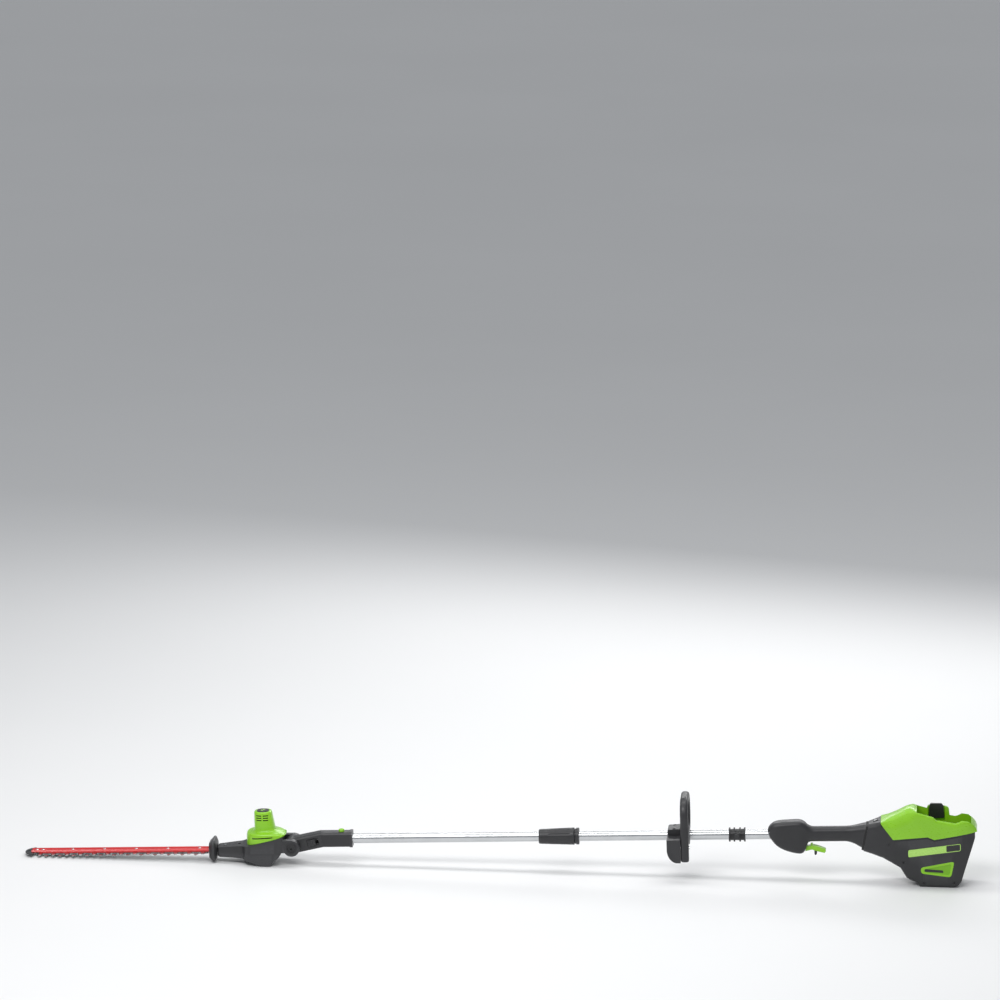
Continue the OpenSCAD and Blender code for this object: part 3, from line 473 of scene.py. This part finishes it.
def build_motor_cover():
    levels = [(0, 0.2, 0, 0), (0, 1.2, 0, 0), (0.01, 4, 0.25, 14), (0.02, 8, 0.6, 19), (0.05, 8, 0.9, 22.4),
              (0.1, 0, 1, 24.2), (0.18, 0, 1, 25.4), (0.32, 0, 1, 26.2), (0.5, 0, 1, 26.8), (0.72, 0, 1, 27.6),
              (0.86, 0, 1, 29), (0.94, 0, 1, 31), (0.985, 0, 1, 34.5), (1, 0, 1, 38)]
    rings = [cover_ring(*level) for level in levels]
    rings += [cover_ring(1, 0, 1, z) for z in (45, 52, 59, 66, 73, 79)]
    rings += [cover_ring(1, 0, 1, z, s)
              for z, s in ((81.4, 0.4), (82.8, 1.2), (83.6, 2.3), (84, 3.8), (84, 5.2))]
    rings.append(cover_ring(1, 0, 1, 83.2, 5.8))
    cover = bridge(rings)
    cover.data.materials.append(GREEN)
    # The vent slots and the long slot are cut in, and their walls take the darker plastic as painted shade.
    for side in (-1, 1):
        for row in range(3):
            for x in (-1889, -1870):
                z = 60 + 6.4 * row
                slot = rounded([(x - 7.5, z), (x + 7.5, z), (x + 7.5, z + 3), (x - 7.5, z + 3)], 1.2, 3)
                cover = boolean(cover, prism(slot, *sorted((side * 18, side * 40))), painted_recess_shade=DARK)
        long_slot = rounded([(-1908, 12), (-1850, 15.6), (-1850, 18.8), (-1908, 15.2)], 1.4, 3)
        cover = boolean(cover, prism(long_slot, *sorted((side * 41, side * 60))), painted_recess_shade=DARK)
    piece(cover, "motor_cover_shell", "head", GREEN, ["motor_cover"], 38)


def disc_stack(cx, z_levels, power=2.3, steps=64):
    """Low oval plate from (z, half length, half width) levels."""
    rings = [[(*superellipse(cx, a, b, power, 2 * math.pi * k / steps), z) for k in range(steps)]
             for z, a, b in z_levels]
    return bridge(rings)


def build_badge():
    badge = disc_stack(COVER_TOP_X, [(83.3, 17.4, 16.9), (84.7, 17.4, 16.9), (85.1, 17.1, 16.6),
                                     (85.2, 16.4, 15.9)])
    piece(badge, "motor_badge", "head", DARK, ["cover_badge"])
    bolt = [(8, 1.5), (-0.5, 8.5), (1, 1.8), (-8, -1.5), (0.5, -8.5), (-1, -1.8)]
    n = len(bolt)
    verts = [(COVER_TOP_X + x, y, z) for z in (85.1, 85.45) for x, y in bolt]
    faces = [tuple(range(n - 1, -1, -1)), tuple(range(n, 2 * n))]
    faces += [(i, (i + 1) % n, n + (i + 1) % n, n + i) for i in range(n)]
    icon = fix_normals(mesh_from(verts, faces))
    piece(icon, "motor_badge_icon", "head", PALE_GREEN)


def build_blade_guard():
    outer = [(-2012.2, -8, -46, 25, 9), (-2014, -4, -50, 29, 11), (-2016.5, 1.5, -54, 34, 13),
             (-2019, 4.2, -56.3, 37.2, 14.5), (-2021.5, 4.8, -56.8, 37.8, 15), (-2024, 4.2, -56.2, 37, 14.5),
             (-2028, -0.4, -51.8, 31.5, 12.5), (-2032, -4, -48.6, 27.6, 11), (-2033.6, -4.8, -47.6, 26.8, 10.5),
             (-2033.8, -6.2, -46.2, 25.4, 10)]
    inner = [(-2031, -6.8, -45.6, 24.8, 9.5), (-2026, -2.4, -50, 29.5, 11.5), (-2021.5, 0.6, -52.8, 33.5, 13),
             (-2018, -6, -46.5, 27, 10)]
    rings = [section(x, top, bottom, half, r, r) for x, top, bottom, half, r in outer + inner]
    guard = bridge(rings)
    guard = boolean(guard, box((-2040, -2005), (-17.2, 17.2), (-37, -30.2)))
    guard = boolean(guard, box((-2040, -2005), (-15.6, 15.6), (-31, -21.8)))
    piece(guard, "blade_guard_dish", "head", BLACK, ["blade_guard"], 40)


TOOTH_X0, TOOTH_PITCH, TEETH = -2515, 19.3, 25
SPINE, TIP = 18, 35
BOLT_X = [-2064 - 90 * i for i in range(5)] + [-2509]
GEAR_X = -1905.25
STROKE = 8


def blade_outline(parity, inset):
    """Outline of one blade; inset draws the ground edges of its teeth in."""
    root, tip = 8 - 0.9 * inset, 3.5 - inset
    reach = TIP - 0.9 * inset
    end = SPINE
    rear = TOOTH_X0 + TOOTH_PITCH * (TEETH - 1) + 10

    def tooth(x, side, step):
        return [(x - step * root, side * end), (x - step * tip, side * reach), (x + step * tip, side * reach),
                (x + step * root, side * end)]

    points = [(rear, SPINE)]
    for i in range(TEETH - 1, -1, -1):
        if i % 2 == 1 - parity:
            points += tooth(TOOTH_X0 + TOOTH_PITCH * i, 1, -1)
    points += [(TOOTH_X0 - 10.9, SPINE - 2), (TOOTH_X0 - 10.9, -SPINE + 2)]
    for i in range(TEETH):
        if i % 2 == parity:
            points += tooth(TOOTH_X0 + TOOTH_PITCH * i, -1, 1)
    radius, half, neck = 28, STROKE + 0.4, 15
    points += [(rear, -SPINE), (rear + 4, -neck)]
    join_x = GEAR_X - half - math.sqrt(radius ** 2 - neck ** 2)
    start = math.degrees(math.atan2(-neck, join_x - GEAR_X + half))
    points.append((join_x - 4, -neck))
    for a in range(int(start) + 1, 91, 9):
        cx = GEAR_X + (half if -90 < a <= 90 else -half)
        points.append((cx + radius * math.cos(math.radians(a)), radius * math.sin(math.radians(a))))
    for a in range(90, 180, 9):
        if radius * math.sin(math.radians(a)) < neck:
            break
        points.append((GEAR_X - half + radius * math.cos(math.radians(a)), radius * math.sin(math.radians(a))))
    points += [(join_x - 4, 15), (rear + 4, 15)]
    return points


def stadium(x, half, r, steps=10):
    right = [(x + half + r * math.cos(math.radians(a)), r * math.sin(math.radians(a)))
             for a in [-90 + 180 * k / steps for k in range(steps + 1)]]
    left = [(x - half + r * math.cos(math.radians(a)), r * math.sin(math.radians(a)))
            for a in [90 + 180 * k / steps for k in range(steps + 1)]]
    return right + left


def upright(outline, z0, z1):
    n = len(outline)
    verts = [(x, y, z0) for x, y in outline] + [(x, y, z1) for x, y in outline]
    faces = [tuple(range(n - 1, -1, -1)), tuple(range(n, 2 * n))]
    faces += [(i, (i + 1) % n, n + (i + 1) % n, n + i) for i in range(n)]
    return fix_normals(mesh_from(verts, faces, "upright"))


def build_blade(name, parity, z0, z1, ground_side):
    """ground_side is the height whose edges are ground back: the outer face of each blade."""
    full = blade_outline(parity, 0)
    drawn = blade_outline(parity, 1.7)
    land = z0 + 0.7 * (z1 - z0) / 2.4 if ground_side == z1 else z1 - 0.7 * (z1 - z0) / 2.4
    flat_side = z0 if ground_side == z1 else z1
    n = len(full)
    verts = ([(x, y, flat_side) for x, y in full] + [(x, y, land) for x, y in full]
             + [(x, y, ground_side) for x, y in drawn])
    faces = [tuple(range(n)), tuple(range(2 * n, 3 * n))]
    for level in (0, 1):
        faces += [(level * n + i, level * n + (i + 1) % n, (level + 1) * n + (i + 1) % n, (level + 1) * n + i)
                  for i in range(n)]
    mesh = mesh_from(verts, faces, "blade")
    mesh.data.materials.append(BLADE)
    # The bevel faces take the dark bevel metal as painted shade.
    mesh.data.materials.append(BEVEL)
    for k, face in enumerate(mesh.data.polygons):
        face.material_index = 1 if k >= 2 + n else 0
    fix_normals(mesh)
    for x in BOLT_X:
        mesh = boolean(mesh, upright(stadium(x, STROKE, 3.3), z0 - 1, z1 + 1))
    mesh = boolean(mesh, upright(stadium(GEAR_X, STROKE + 0.4, 22.5, 24), z0 - 1, z1 + 1))
    piece(mesh, name + "_ground", name, BLADE, [name], 25)


def build_head():
    build_motor_cover()
    build_badge()
    build_blade_guard()
    refined("gearcase_upper", "head", BLACK, 1.3, 3)
    refined("gearcase_lower", "head", BLACK, 1.3, 3)
    refined("support_bar", "head", RED, 0.7, 3, 25)
    refined("tip_guard", "head", DARK, 0.5, 2)
    refined("blade_bolts", "head", BOLT, 0.25, 2, 50)
    refined("blade_nuts", "head", BOLT, 0.3, 2)
    refined("gearcase_screws", "head", BOLT, 0.3, 2)
    refined("pivot_caps", "head", DARK, 0.7, 3)
    refined("pivot_bolt", "head", DARK, 0.5, 2)
    refined("pivot_nut", "head", BOLT, 0.5, 2)
    lower_z = -35.6
    build_blade("lower_blade", 1, lower_z, lower_z + 2.4, lower_z)
    build_blade("upper_blade", 0, lower_z + 2.7, lower_z + 5.1, lower_z + 5.1)


# ---------- Elbow and poles ----------

ELBOW = Matrix.Translation(PIVOT) @ Matrix.Rotation(-math.atan2(17, 83), 4, "Y")


def coil(name, length, radius, wire, turns, place, body, node):
    """Round wire spring along its own X."""
    steps = turns * 20
    curve = bpy.data.curves.new(name, "CURVE")
    curve.dimensions = "3D"
    curve.bevel_depth = wire / 2 * MM
    curve.bevel_resolution = 3
    spline = curve.splines.new("POLY")
    spline.points.add(steps)
    for k in range(steps + 1):
        a = 2 * math.pi * turns * k / steps
        x = wire / 2 + (length - wire) * k / steps
        p = place @ Vector((x, (radius - wire / 2) * math.cos(a), (radius - wire / 2) * math.sin(a)))
        spline.points[k].co = (*(TOOL @ p), 1)
    curve.use_fill_caps = True
    obj = bpy.data.objects.new(name, curve)
    bpy.context.scene.collection.objects.link(obj)
    curve.materials.append(BOLT)
    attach(obj, body)
    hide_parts(node)


def build_lock():
    slider = bevel(from_cad("lock_slider"), 0.6, 2)
    ribs = []
    for side in (-1, 1):
        for u in (48.2, 53.6, 59, 64.4):
            rib = box((u - 1.1, u + 1.1), sorted((side * 25.5, side * 27.6)), (-8.4, 8.4))
            rib.data.transform(ELBOW)
            ribs.append(bevel(rib, 0.5, 2))
    piece(join([slider] + ribs), "lock_slider_ribbed", "lock_slider", DARK, ["lock_slider"])


def fluted(x, angle):
    ends = min(1, max(0, (x + 1079) / 6)) * min(1, max(0, (-1015 - x) / 6))
    ends = ends * ends * (3 - 2 * ends)
    return 1.3 * ends * max(0, math.cos(12 * angle)) ** 1.5


def build_sleeve():
    outer = [(-1104.8, 15.2), (-1104.8, 18.6), (-1104.3, 19.6), (-1103.2, 20.3), (-1101, 20.6)]
    outer += [(-1098 + 2 * k, 20.8 + 0.0368 * (2 * k)) for k in range(0, 44)]
    outer += [(-1009.6, 24.1), (-1007.4, 24.2), (-1006, 23.9), (-1005.2, 23.2), (-1005, 22.2)]
    inner = [(-1005, 17), (-1078, 17), (-1079, 14.4), (-1104, 14.4)]
    rings = lathe_x(outer, steps=144, flute=fluted) + lathe_x(inner, steps=144)
    rings.append(rings[0])
    sleeve = weld(bridge(rings, closed_ends=False))
    piece(sleeve, "coupler_sleeve_fluted", "coupler_sleeve", BLACK, ["coupler_sleeve"], 40)


def tube(node, start, end, holes=()):
    """Drawn tube of the poles, with softened ends and any hole that its parts pass through."""
    profile = [(start, 12.8), (start, 13.7), (start + 0.3, 14), (end - 0.3, 14), (end, 13.7), (end, 12.8),
               (end - 0.3, 12.5), (start + 0.3, 12.5)]
    rings = lathe_x(profile, steps=128)
    rings.append(rings[0])
    pole = weld(bridge(rings, closed_ends=False))
    for x, r in holes:
        pole = boolean(pole, upright([(x + r * math.cos(math.pi * k / 16), r * math.sin(math.pi * k / 16))
                                      for k in range(32)], 5, 20))
    piece(pole, node + "_tube", "shaft", ALUMINIUM, [node], 25)


def build_pole_parts():
    for side, node in ((-1, "elbow_left"), (1, "elbow_right")):
        # A shallow recess round the tab of the tilt lock, its walls in the darker plastic as painted shade
        pocket = box((43.5, 77.5), sorted((side * 19.5, side * 30)), (-10.5, 10.5))
        pocket.data.transform(ELBOW)
        elbow = from_cad(node)
        elbow.data.materials.append(BLACK)
        elbow = bevel(boolean(elbow, pocket, painted_recess_shade=DARK), 0.8, 2)
        piece(elbow, node + "_finished", "shaft", BLACK, [node])
    build_lock()
    tube("front_pole", -1703, -1103, [(-1660, 3.5)])
    tube("rear_pole", -1102.8, -372)
    refined("latch_button", "latch_button", GREEN, 0.4, 2, 50)
    spring_start, spring_end = 58.6, 78
    coil("lock_spring_coil", spring_end - spring_start, 3.9, 0.9, 8,
         ELBOW @ Matrix.Translation((spring_start, 0, 0)), "shaft", "lock_spring")
    latch_place = Matrix.Translation((-1660, 0, 14.3)) @ Matrix.Rotation(-math.pi / 2, 4, "Y")
    coil("latch_spring_coil", 6.9, 6.2, 0.8, 4, latch_place, "shaft", "latch_spring")
    build_sleeve()
    refined("coupler_collar", "shaft", BLACK, 0.8, 3)
    refined("strap_collar_upper", "shaft", DARK, 0.6, 2)
    refined("strap_collar_lower", "shaft", DARK, 0.6, 2)


# ---------- Loop handle ----------

LOOP_X = -694
LOOP_HALF_X = 11.4


def oval(center, out, half_out, steps=32, power=2.6):
    """Cross-section of the loop: out is the direction, in Y and Z, that points away from the loop's middle."""
    ring = []
    for k in range(steps):
        a = 2 * math.pi * k / steps
        dx, dr = superellipse(0, LOOP_HALF_X, half_out, power, a)
        ring.append((LOOP_X + dx, center[0] + out[0] * dr, center[1] + out[1] * dr))
    return ring


def build_loop():
    half_w, half_h, r, cz, thick = 64.7, 49.3, 41, 58, 11
    path = []
    for cy, z, start in ((half_w - r, half_h - r, 0), (r - half_w, half_h - r, 90),
                         (r - half_w, r - half_h, 180), (half_w - r, r - half_h, 270)):
        for k in range(13):
            a = math.radians(start + 90 * k / 12)
            path.append(((cy + r * math.cos(a), cz + z + r * math.sin(a)), (math.cos(a), math.sin(a))))
    rings = [oval(p, out, thick) for p, out in path]
    rings.append(rings[0])
    loop = weld(bridge(rings, closed_ends=False))
    levels = [(44, 0.6), (40, 0.85), (30, 1), (0, 1), (-30, 1), (-50, 1), (-55, 0.97), (-57, 0.9),
              (-57.9, 0.78)]
    limb_rings = []
    for z, size in levels:
        ring = []
        for k in range(32):
            dx, dy = superellipse(0, LOOP_HALF_X * size, 11.3 * size, 3.2, 2 * math.pi * k / 32)
            ring.append((LOOP_X + dx, -64.5 + dy, z))
        limb_rings.append(ring)
    limb = bridge(limb_rings)
    web = bevel(box((-704, -684), (-66, -14), (-22, 16)), 3, 3)
    lathe_cut = bridge(lathe_x([(-710, 14.3), (-678, 14.3)], steps=72))
    whole = boolean(loop, limb, "UNION")
    whole = boolean(whole, web, "UNION")
    whole = boolean(whole, bridge(lathe_x([(-705.3, 25.6), (-682.7, 25.6)], steps=72)), "UNION")
    whole = boolean(whole, lathe_cut)
    piece(whole, "loop_grip", "loop_handle", BLACK, ["handle_loop"], 40)
    refined("handle_clamp", "loop_handle", BLACK, 2.4, 4)
    refined("handle_cap", "loop_handle", BLACK, 1.2, 3)
    refined("handle_bolts", "loop_handle", BOLT, 0.3, 2)


# ---------- Grip and rear housing ----------

GRIP_KEYS = [
    (-464.2, 16, 3, 9, 6, 5), (-462.5, 20, -1, 13, 8, 7), (-458, 26, -9, 17.5, 11, 9),
    (-452, 31, -17, 20.5, 13, 12),
    (-443, 35, -28, 22.6, 13, 13), (-425, 37.8, -40.5, 23.8, 13, 14), (-400, 39.2, -49.5, 23.9, 13, 13),
    (-384, 40, -52.8, 23.6, 13, 12), (-374, 39.2, -53.4, 23, 13, 11), (-366, 36.6, -50.5, 21.8, 13, 11),
    (-360, 32.6, -43, 20.4, 14, 12), (-356, 29, -31, 19.2, 15, 13), (-352, 25.8, -23, 18.4, 15, 15),
    (-345, 22.6, -20.9, 18, 15, 15), (-337, 21.2, -20.8, 17.8, 15, 15), (-300, 21, -21, 17.8, 15, 15),
    (-242, 21.2, -22, 18, 15, 15), (-222, 23.2, -28.5, 20.5, 15, 15), (-206, 26.3, -37.5, 24, 16, 16),
    (-190, 29.4, -44.5, 26.8, 17, 17)]


def slanted(obj, x_at_axis, keep_front, lean=0.204):
    """Cuts a closed shape at the slanted joint plane and keeps its blade side or its battery side."""
    bm = bmesh.new()
    bm.from_mesh(obj.data)
    geom = list(bm.verts) + list(bm.edges) + list(bm.faces)
    normal = Vector((1, 0, -lean)) * (1 if keep_front else -1)
    cut = bmesh.ops.bisect_plane(bm, geom=geom, dist=1e-4, plane_co=(x_at_axis, 0, 0), plane_no=normal,
                                 clear_outer=True)
    rim = [e for e in cut["geom_cut"] if isinstance(e, bmesh.types.BMEdge)]
    bmesh.ops.holes_fill(bm, edges=rim, sides=0)
    bmesh.ops.recalc_face_normals(bm, faces=bm.faces)
    bm.to_mesh(obj.data)
    bm.free()
    return obj


def build_grip():
    rows = smooth_keys(GRIP_KEYS, 4)
    grip = bridge([section(*row) for row in rows])
    grip = slanted(grip, -196.2, True)
    grip = boolean(grip, box((-380, -345), (-9, 9), (-51.5, -24)))
    grip = boolean(grip, box((-357, -316), (-9, 9), (-26, -14)))
    grip = boolean(grip, bridge(lathe_x([(-470, 14.1), (-400, 14.1)], steps=64)))
    for side, name in ((-1, "left"), (1, "right")):
        half = half_of(grip, side)
        piece(half, "grip_shell_" + name, "shaft", BLACK, ["grip_" + name], 38)
    bpy.data.objects.remove(grip)
    refined("trigger", "trigger", GREEN, 1.6, 4)
    refined("trigger_lock", "trigger_lock", DARK, 0.4, 2)
    refined("isolator_ring", "shaft", RUBBER, 0.8, 2)


HALF_W = [(-206, 23.5), (-190, 27.5), (-165, 35.5), (-140, 41.8), (-112, 45.6), (-60, 45.9), (60, 45.9),
          (90, 43.8), (105, 40), (117, 34.6)]


def foot_z(x):
    return -FOOT_DROP - x * math.tan(tilt)


LOW = [(-206, -44), (-199, -48), (-170, -55.5), (-144, -64), (-122, -76), (-108, -84), (-97, -91), (-88, -106),
       (-80, -119), (-72, -125), (-64, -128), (-57, -130), (-51, -134), (-46, -142.5), (-43, foot_z(-43)),
       (49, foot_z(49)), (57, foot_z(57) + 1.6), (64, -141.8), (70, -134), (73.6, -125),
       (76.6, -115), (117, 11)]
HIGH = [(-206, 22), (-184, 31), (-150, 41), (-148, 35), (-116, -8), (-20, -1), (-2, -9), (117, 11)]


def stations(*tables, step=5):
    marks = sorted({x for table in tables for x, _ in table})
    out = []
    for a, b in zip(marks, marks[1:]):
        count = max(1, round((b - a) / step))
        out += [a + (b - a) * k / count for k in range(count)]
    return out + [marks[-1]]


def corner_low(x):
    return along([(-206, 15), (-150, 15), (-100, 13), (-50, 10), (-43, 7), (49, 7), (75, 9), (117, 6)], x)


def corner_high(x):
    return along([(-206, 15), (-160, 15), (-150, 10), (-140, 1), (117, 1)], x)


def build_rear_shells():
    rings = []
    for x in stations(LOW, HIGH, HALF_W):
        low, high = along(LOW, x), along(HIGH, x)
        if high - low < 1.5:
            continue
        rings.append(section(x, high, low, along(HALF_W, x), corner_high(x), corner_low(x)))
    shell = bridge(rings)
    shell = slanted(shell, -190, False)
    for i in range(6):
        x = -153 + 6.4 * i
        z = along(LOW, x)
        shell = boolean(shell, prism([(x - 1.2, z - 8), (x + 1.2, z - 8), (x + 2.2, z + 2.6), (x - 0.4, z + 2.6)],
                                     -26, 26))
    bay = [(-53.8, 60), (-45.9, -91.8), (74.9, -91.8), (103.8, 11), (103.8, 60)]
    shell = boolean(shell, prism(bay, -40.6, 40.6))
    shell = boolean(shell, upright(rounded([(-171, -7), (-157, -7), (-157, 7), (-171, 7)], 3, 3), 30, 60))
    windows = rounded([(-41, -88), (53, -71), (43, -117), (-40, -105)], 9)
    strip = rounded([(-75, -37), (-75, -58), (71, -41), (71, -20)], 5)
    for side in (-1, 1):
        shell = boolean(shell, prism(windows, *sorted((side * 43, side * 60))))
        shell = boolean(shell, prism(strip, *sorted((side * 44.8, side * 60))))
    ledge = [(-113, -9.4), (-20, -2.4), (-2, -10.4), (108, 8), (108, 5), (-2, -13.2), (-20, -5.2),
             (-111, -12.2)]
    for side in (-1, 1):
        shell = boolean(shell, prism(ledge, *sorted((side * 44.6, side * 60))))
    for x, z in ((-128, -22), (-88, -72), (-32, -132), (52, -132)):
        hole = [(x + 4 * math.cos(math.pi * k / 12), z + 4 * math.sin(math.pi * k / 12)) for k in range(24)]
        shell = boolean(shell, prism(hole, -60, -41))
    for side, name in ((-1, "left"), (1, "right")):
        half = half_of(shell, side)
        piece(half, "rear_housing_" + name, "shaft", BLACK, ["rear_shell_" + name], 34)
    bpy.data.objects.remove(shell)


RIM = [(-149.4, 41.2), (-112, 57), (-78, 74), (-70, 76), (-60, 76), (-39, 66), (-4, 55), (4, 46.5), (56, 36.5),
       (64, 38.5), (75, 44), (93, 42), (104, 34), (113, 24), (116.8, 13)]
COVER_LOW = [(-149.4, 39.6), (-148, 35.2), (-116, -7.8), (-20, -0.8), (-2, -8.8), (117, 11.2)]


def cover_corner(x):
    return along([(-150, 8), (-130, 20), (-100, 27), (-72, 27), (-55, 15), (-38, 7), (100, 7), (117, 5)], x)


def build_battery_cover():
    rings = []
    for x in stations(RIM, COVER_LOW[:-1], HALF_W[3:-1] + [(116.8, 34.7)]):
        if x < -149.4:
            continue
        low, high = along(COVER_LOW, x), along(RIM, x)
        rings.append(section(x, high, low, along(HALF_W, x) - 0.1, cover_corner(x), 0.6, 2))
    cover = bridge(rings)
    boss = rounded([(-25, 20), (43, 20), (39, 60), (32, 65), (-15, 69), (-21, 65)], 4)
    boss = bevel(prism(boss, 37, 45.7), 1.6, 3, 50)
    cover = boolean(cover, boss, "UNION")
    bay = rounded([(-50, 110), (-47, -30), (91, -30), (101, 30), (101, 110)], 4)
    cover = boolean(cover, prism(bay, -38, 38))
    cover = boolean(cover, box((-19, 28), (37, 44.2), (24, 90)))
    piece(cover, "battery_cover_shell", "shaft", GREEN, ["battery_cover"], 36)


def build_windows_and_strips():
    frames = bevel(from_cad("side_windows"), 0.8, 3)
    frames.data.materials.append(GREEN)
    frames.data.materials.append(GREEN_TEXTURED_SHADE)
    # Faces on the floor of each window recess take the textured green, darker as painted shade.
    for face in frames.data.polygons:
        middle = face.center
        painted_recess_shade = abs(middle.y) < 45.6 and -32.5 < middle.x < 45.5 and -112 < middle.z < -78
        face.material_index = 1 if painted_recess_shade and abs(face.normal.y) > 0.7 else 0
    # A thin dark plate in each window slot is painted shade for the slot's shaded inside.
    slot_shade_plates = []
    for side in (-1, 1):
        slot = rounded([(-30, -92), (21, -96.5), (22, -104), (-30, -100)], 2.5)
        slot_shade_plates.append(bevel(prism(slot, *sorted((side * 43.5, side * 45.3))), 0.25, 2))
    piece(join(slot_shade_plates), "window_slot_painted_shade", "shaft", DARK)
    piece(frames, "window_bezels", "shaft", GREEN, ["side_windows"])
    strips, blocks = [], []
    strip = rounded([(-74.8, -37.2), (-74.8, -57.8), (70.8, -41), (70.8, -20.2)], 5)
    black = rounded([(31, -25.9), (31, -43.7), (69, -39.4), (69, -21.9)], 3)
    for side in (-1, 1):
        strips.append(bevel(prism(strip, *sorted((side * 44.9, side * 46.2))), 0.3, 2))
        blocks.append(bevel(prism(black, *sorted((side * 46, side * 46.3))), 0.12, 2))
    piece(join(strips), "side_strips", "shaft", PALE_GREEN, ["side_badges"])
    piece(join(blocks), "side_strip_blocks", "shaft", DARK)


def build_power_button():
    refined("power_button", "power_button", DARK, 0.8, 3)
    place = Matrix.Translation((-164, 0, 34.6)) @ Matrix.Rotation(-math.radians(15), 4, "Y")
    low, high = 3.95, 4.08
    inner, outer, steps = 2.4, 4.1, 30
    verts, faces = [], []
    for k in range(steps + 1):
        a = math.radians(40 + 280 * k / steps)
        for r, z in ((inner, low), (outer, low), (outer, high), (inner, high)):
            verts.append((r * math.cos(a), r * math.sin(a), z))
    for k in range(steps):
        for j in range(4):
            faces.append((4 * k + j, 4 * k + (j + 1) % 4, 4 * k + 4 + (j + 1) % 4, 4 * k + 4 + j))
    faces += [(0, 1, 2, 3), tuple(4 * steps + j for j in (3, 2, 1, 0))]
    ring = fix_normals(mesh_from(verts, faces))
    icon = join([ring, box((0.6, 4.6), (-0.75, 0.75), (low, high))])
    icon.data.transform(place)
    piece(icon, "power_icon", "power_button", WHITE)


def build_rear():
    build_rear_shells()
    build_battery_cover()
    build_windows_and_strips()
    build_power_button()
    refined("battery_latch", "battery_latch", DARK, 1.2, 3)
    refined("battery_cradle", "shaft", DARK, 0.6, 2)
    refined("terminal_block", "shaft", DARK, 0.3, 2)
    refined("housing_screws", "shaft", DARK, 0.3, 2)


# ---------- CAD pieces that keep their own shape ----------

CARRIED = {
    "coupler_core": ALUMINIUM, "pole_leads": LEAD,
    "drive_gear": GEAR, "crankshaft": GEAR, "rotor_shaft": GEAR, "tilt_ratchet": GEAR, "cooling_fan": DARK,
    "motor_stator": MOTOR, "rotor_bearing": BOLT, "gear_bearings": BOLT, "pivot_bushings": BRONZE,
    "trigger_pin": BOLT, "switch_body": DARK, "controller_board": BOARD,
}


def finish_carried():
    for node, material in CARRIED.items():
        obj = frame["nodes"][node]
        if not obj.material_slots:
            obj.data.materials.append(material)
        for slot in obj.material_slots:
            slot.material = material


# ---------- Floor, light and camera ----------

def build_stage():
    floor = mesh_from([(-60, -60, 0), (60, -60, 0), (60, 60, 0), (-60, 60, 0)], [(0, 1, 2, 3)], "floor")
    mat, nodes, links, shader = new_material("studio_floor")
    coords = nodes.new("ShaderNodeTexCoord")
    tone = noise(nodes, links, coords, 0.6, 3)
    body = ramp(nodes, links, tone.outputs["Fac"], [(0.3, grey(0.80)), (0.7, grey(0.82))])
    links.new(body.outputs["Color"], shader.inputs["Base Color"])
    shader.inputs["Roughness"].default_value = 0.75
    floor.data.materials.append(mat)
    world = bpy.data.worlds.new("studio")
    world.use_nodes = True
    world.node_tree.nodes["Background"].inputs["Color"].default_value = (0.93, 0.96, 1, 1)
    world.node_tree.nodes["Background"].inputs["Strength"].default_value = 0.42
    bpy.context.scene.world = world


def area_light(name, place, target, size, power):
    data = bpy.data.lights.new(name, "AREA")
    data.shape = "RECTANGLE"
    data.size, data.size_y = size
    data.energy = power
    obj = bpy.data.objects.new(name, data)
    bpy.context.scene.collection.objects.link(obj)
    obj.location = place
    obj.rotation_euler = (Vector(target) - Vector(place)).to_track_quat("-Z", "Y").to_euler()


def build_lights(middle):
    x = middle.x
    area_light("key", (x - 0.8, -2.6, 3.2), (x, 0, 0.1), (3.6, 1.2), 88)
    area_light("top", (x, 0.5, 3.4), (x, 0, 0), (4.2, 0.9), 56)
    area_light("rim", (x + 0.8, 3.0, 1.6), (x, 0, 0.1), (3.6, 0.8), 36)


def build_camera(middle):
    data = bpy.data.cameras.new("camera")
    data.lens = 200
    data.clip_end = 200
    camera = bpy.data.objects.new("camera", data)
    bpy.context.scene.collection.objects.link(camera)
    azimuth, elevation, roll = math.radians(4.5), math.radians(13), math.radians(0.5)
    distance = 15.55
    back = Vector((math.sin(azimuth) * math.cos(elevation), -math.cos(azimuth) * math.cos(elevation),
                   math.sin(elevation)))
    look = back.to_track_quat("Z", "Y").to_matrix().to_4x4() @ Matrix.Rotation(roll, 4, "Z")
    aim = middle + look.to_3x3() @ Vector((0.006, 0.92, 0))
    camera.matrix_world = Matrix.Translation(aim + back * distance) @ look
    bpy.context.scene.camera = camera


build_head()
build_pole_parts()
build_loop()
build_grip()
build_rear()
finish_carried()
build_stage()
centre = (cad_box[0] + cad_box[1]) / 2
build_lights(centre)
build_camera(centre)
bpy.context.scene.view_settings.view_transform = "Standard"
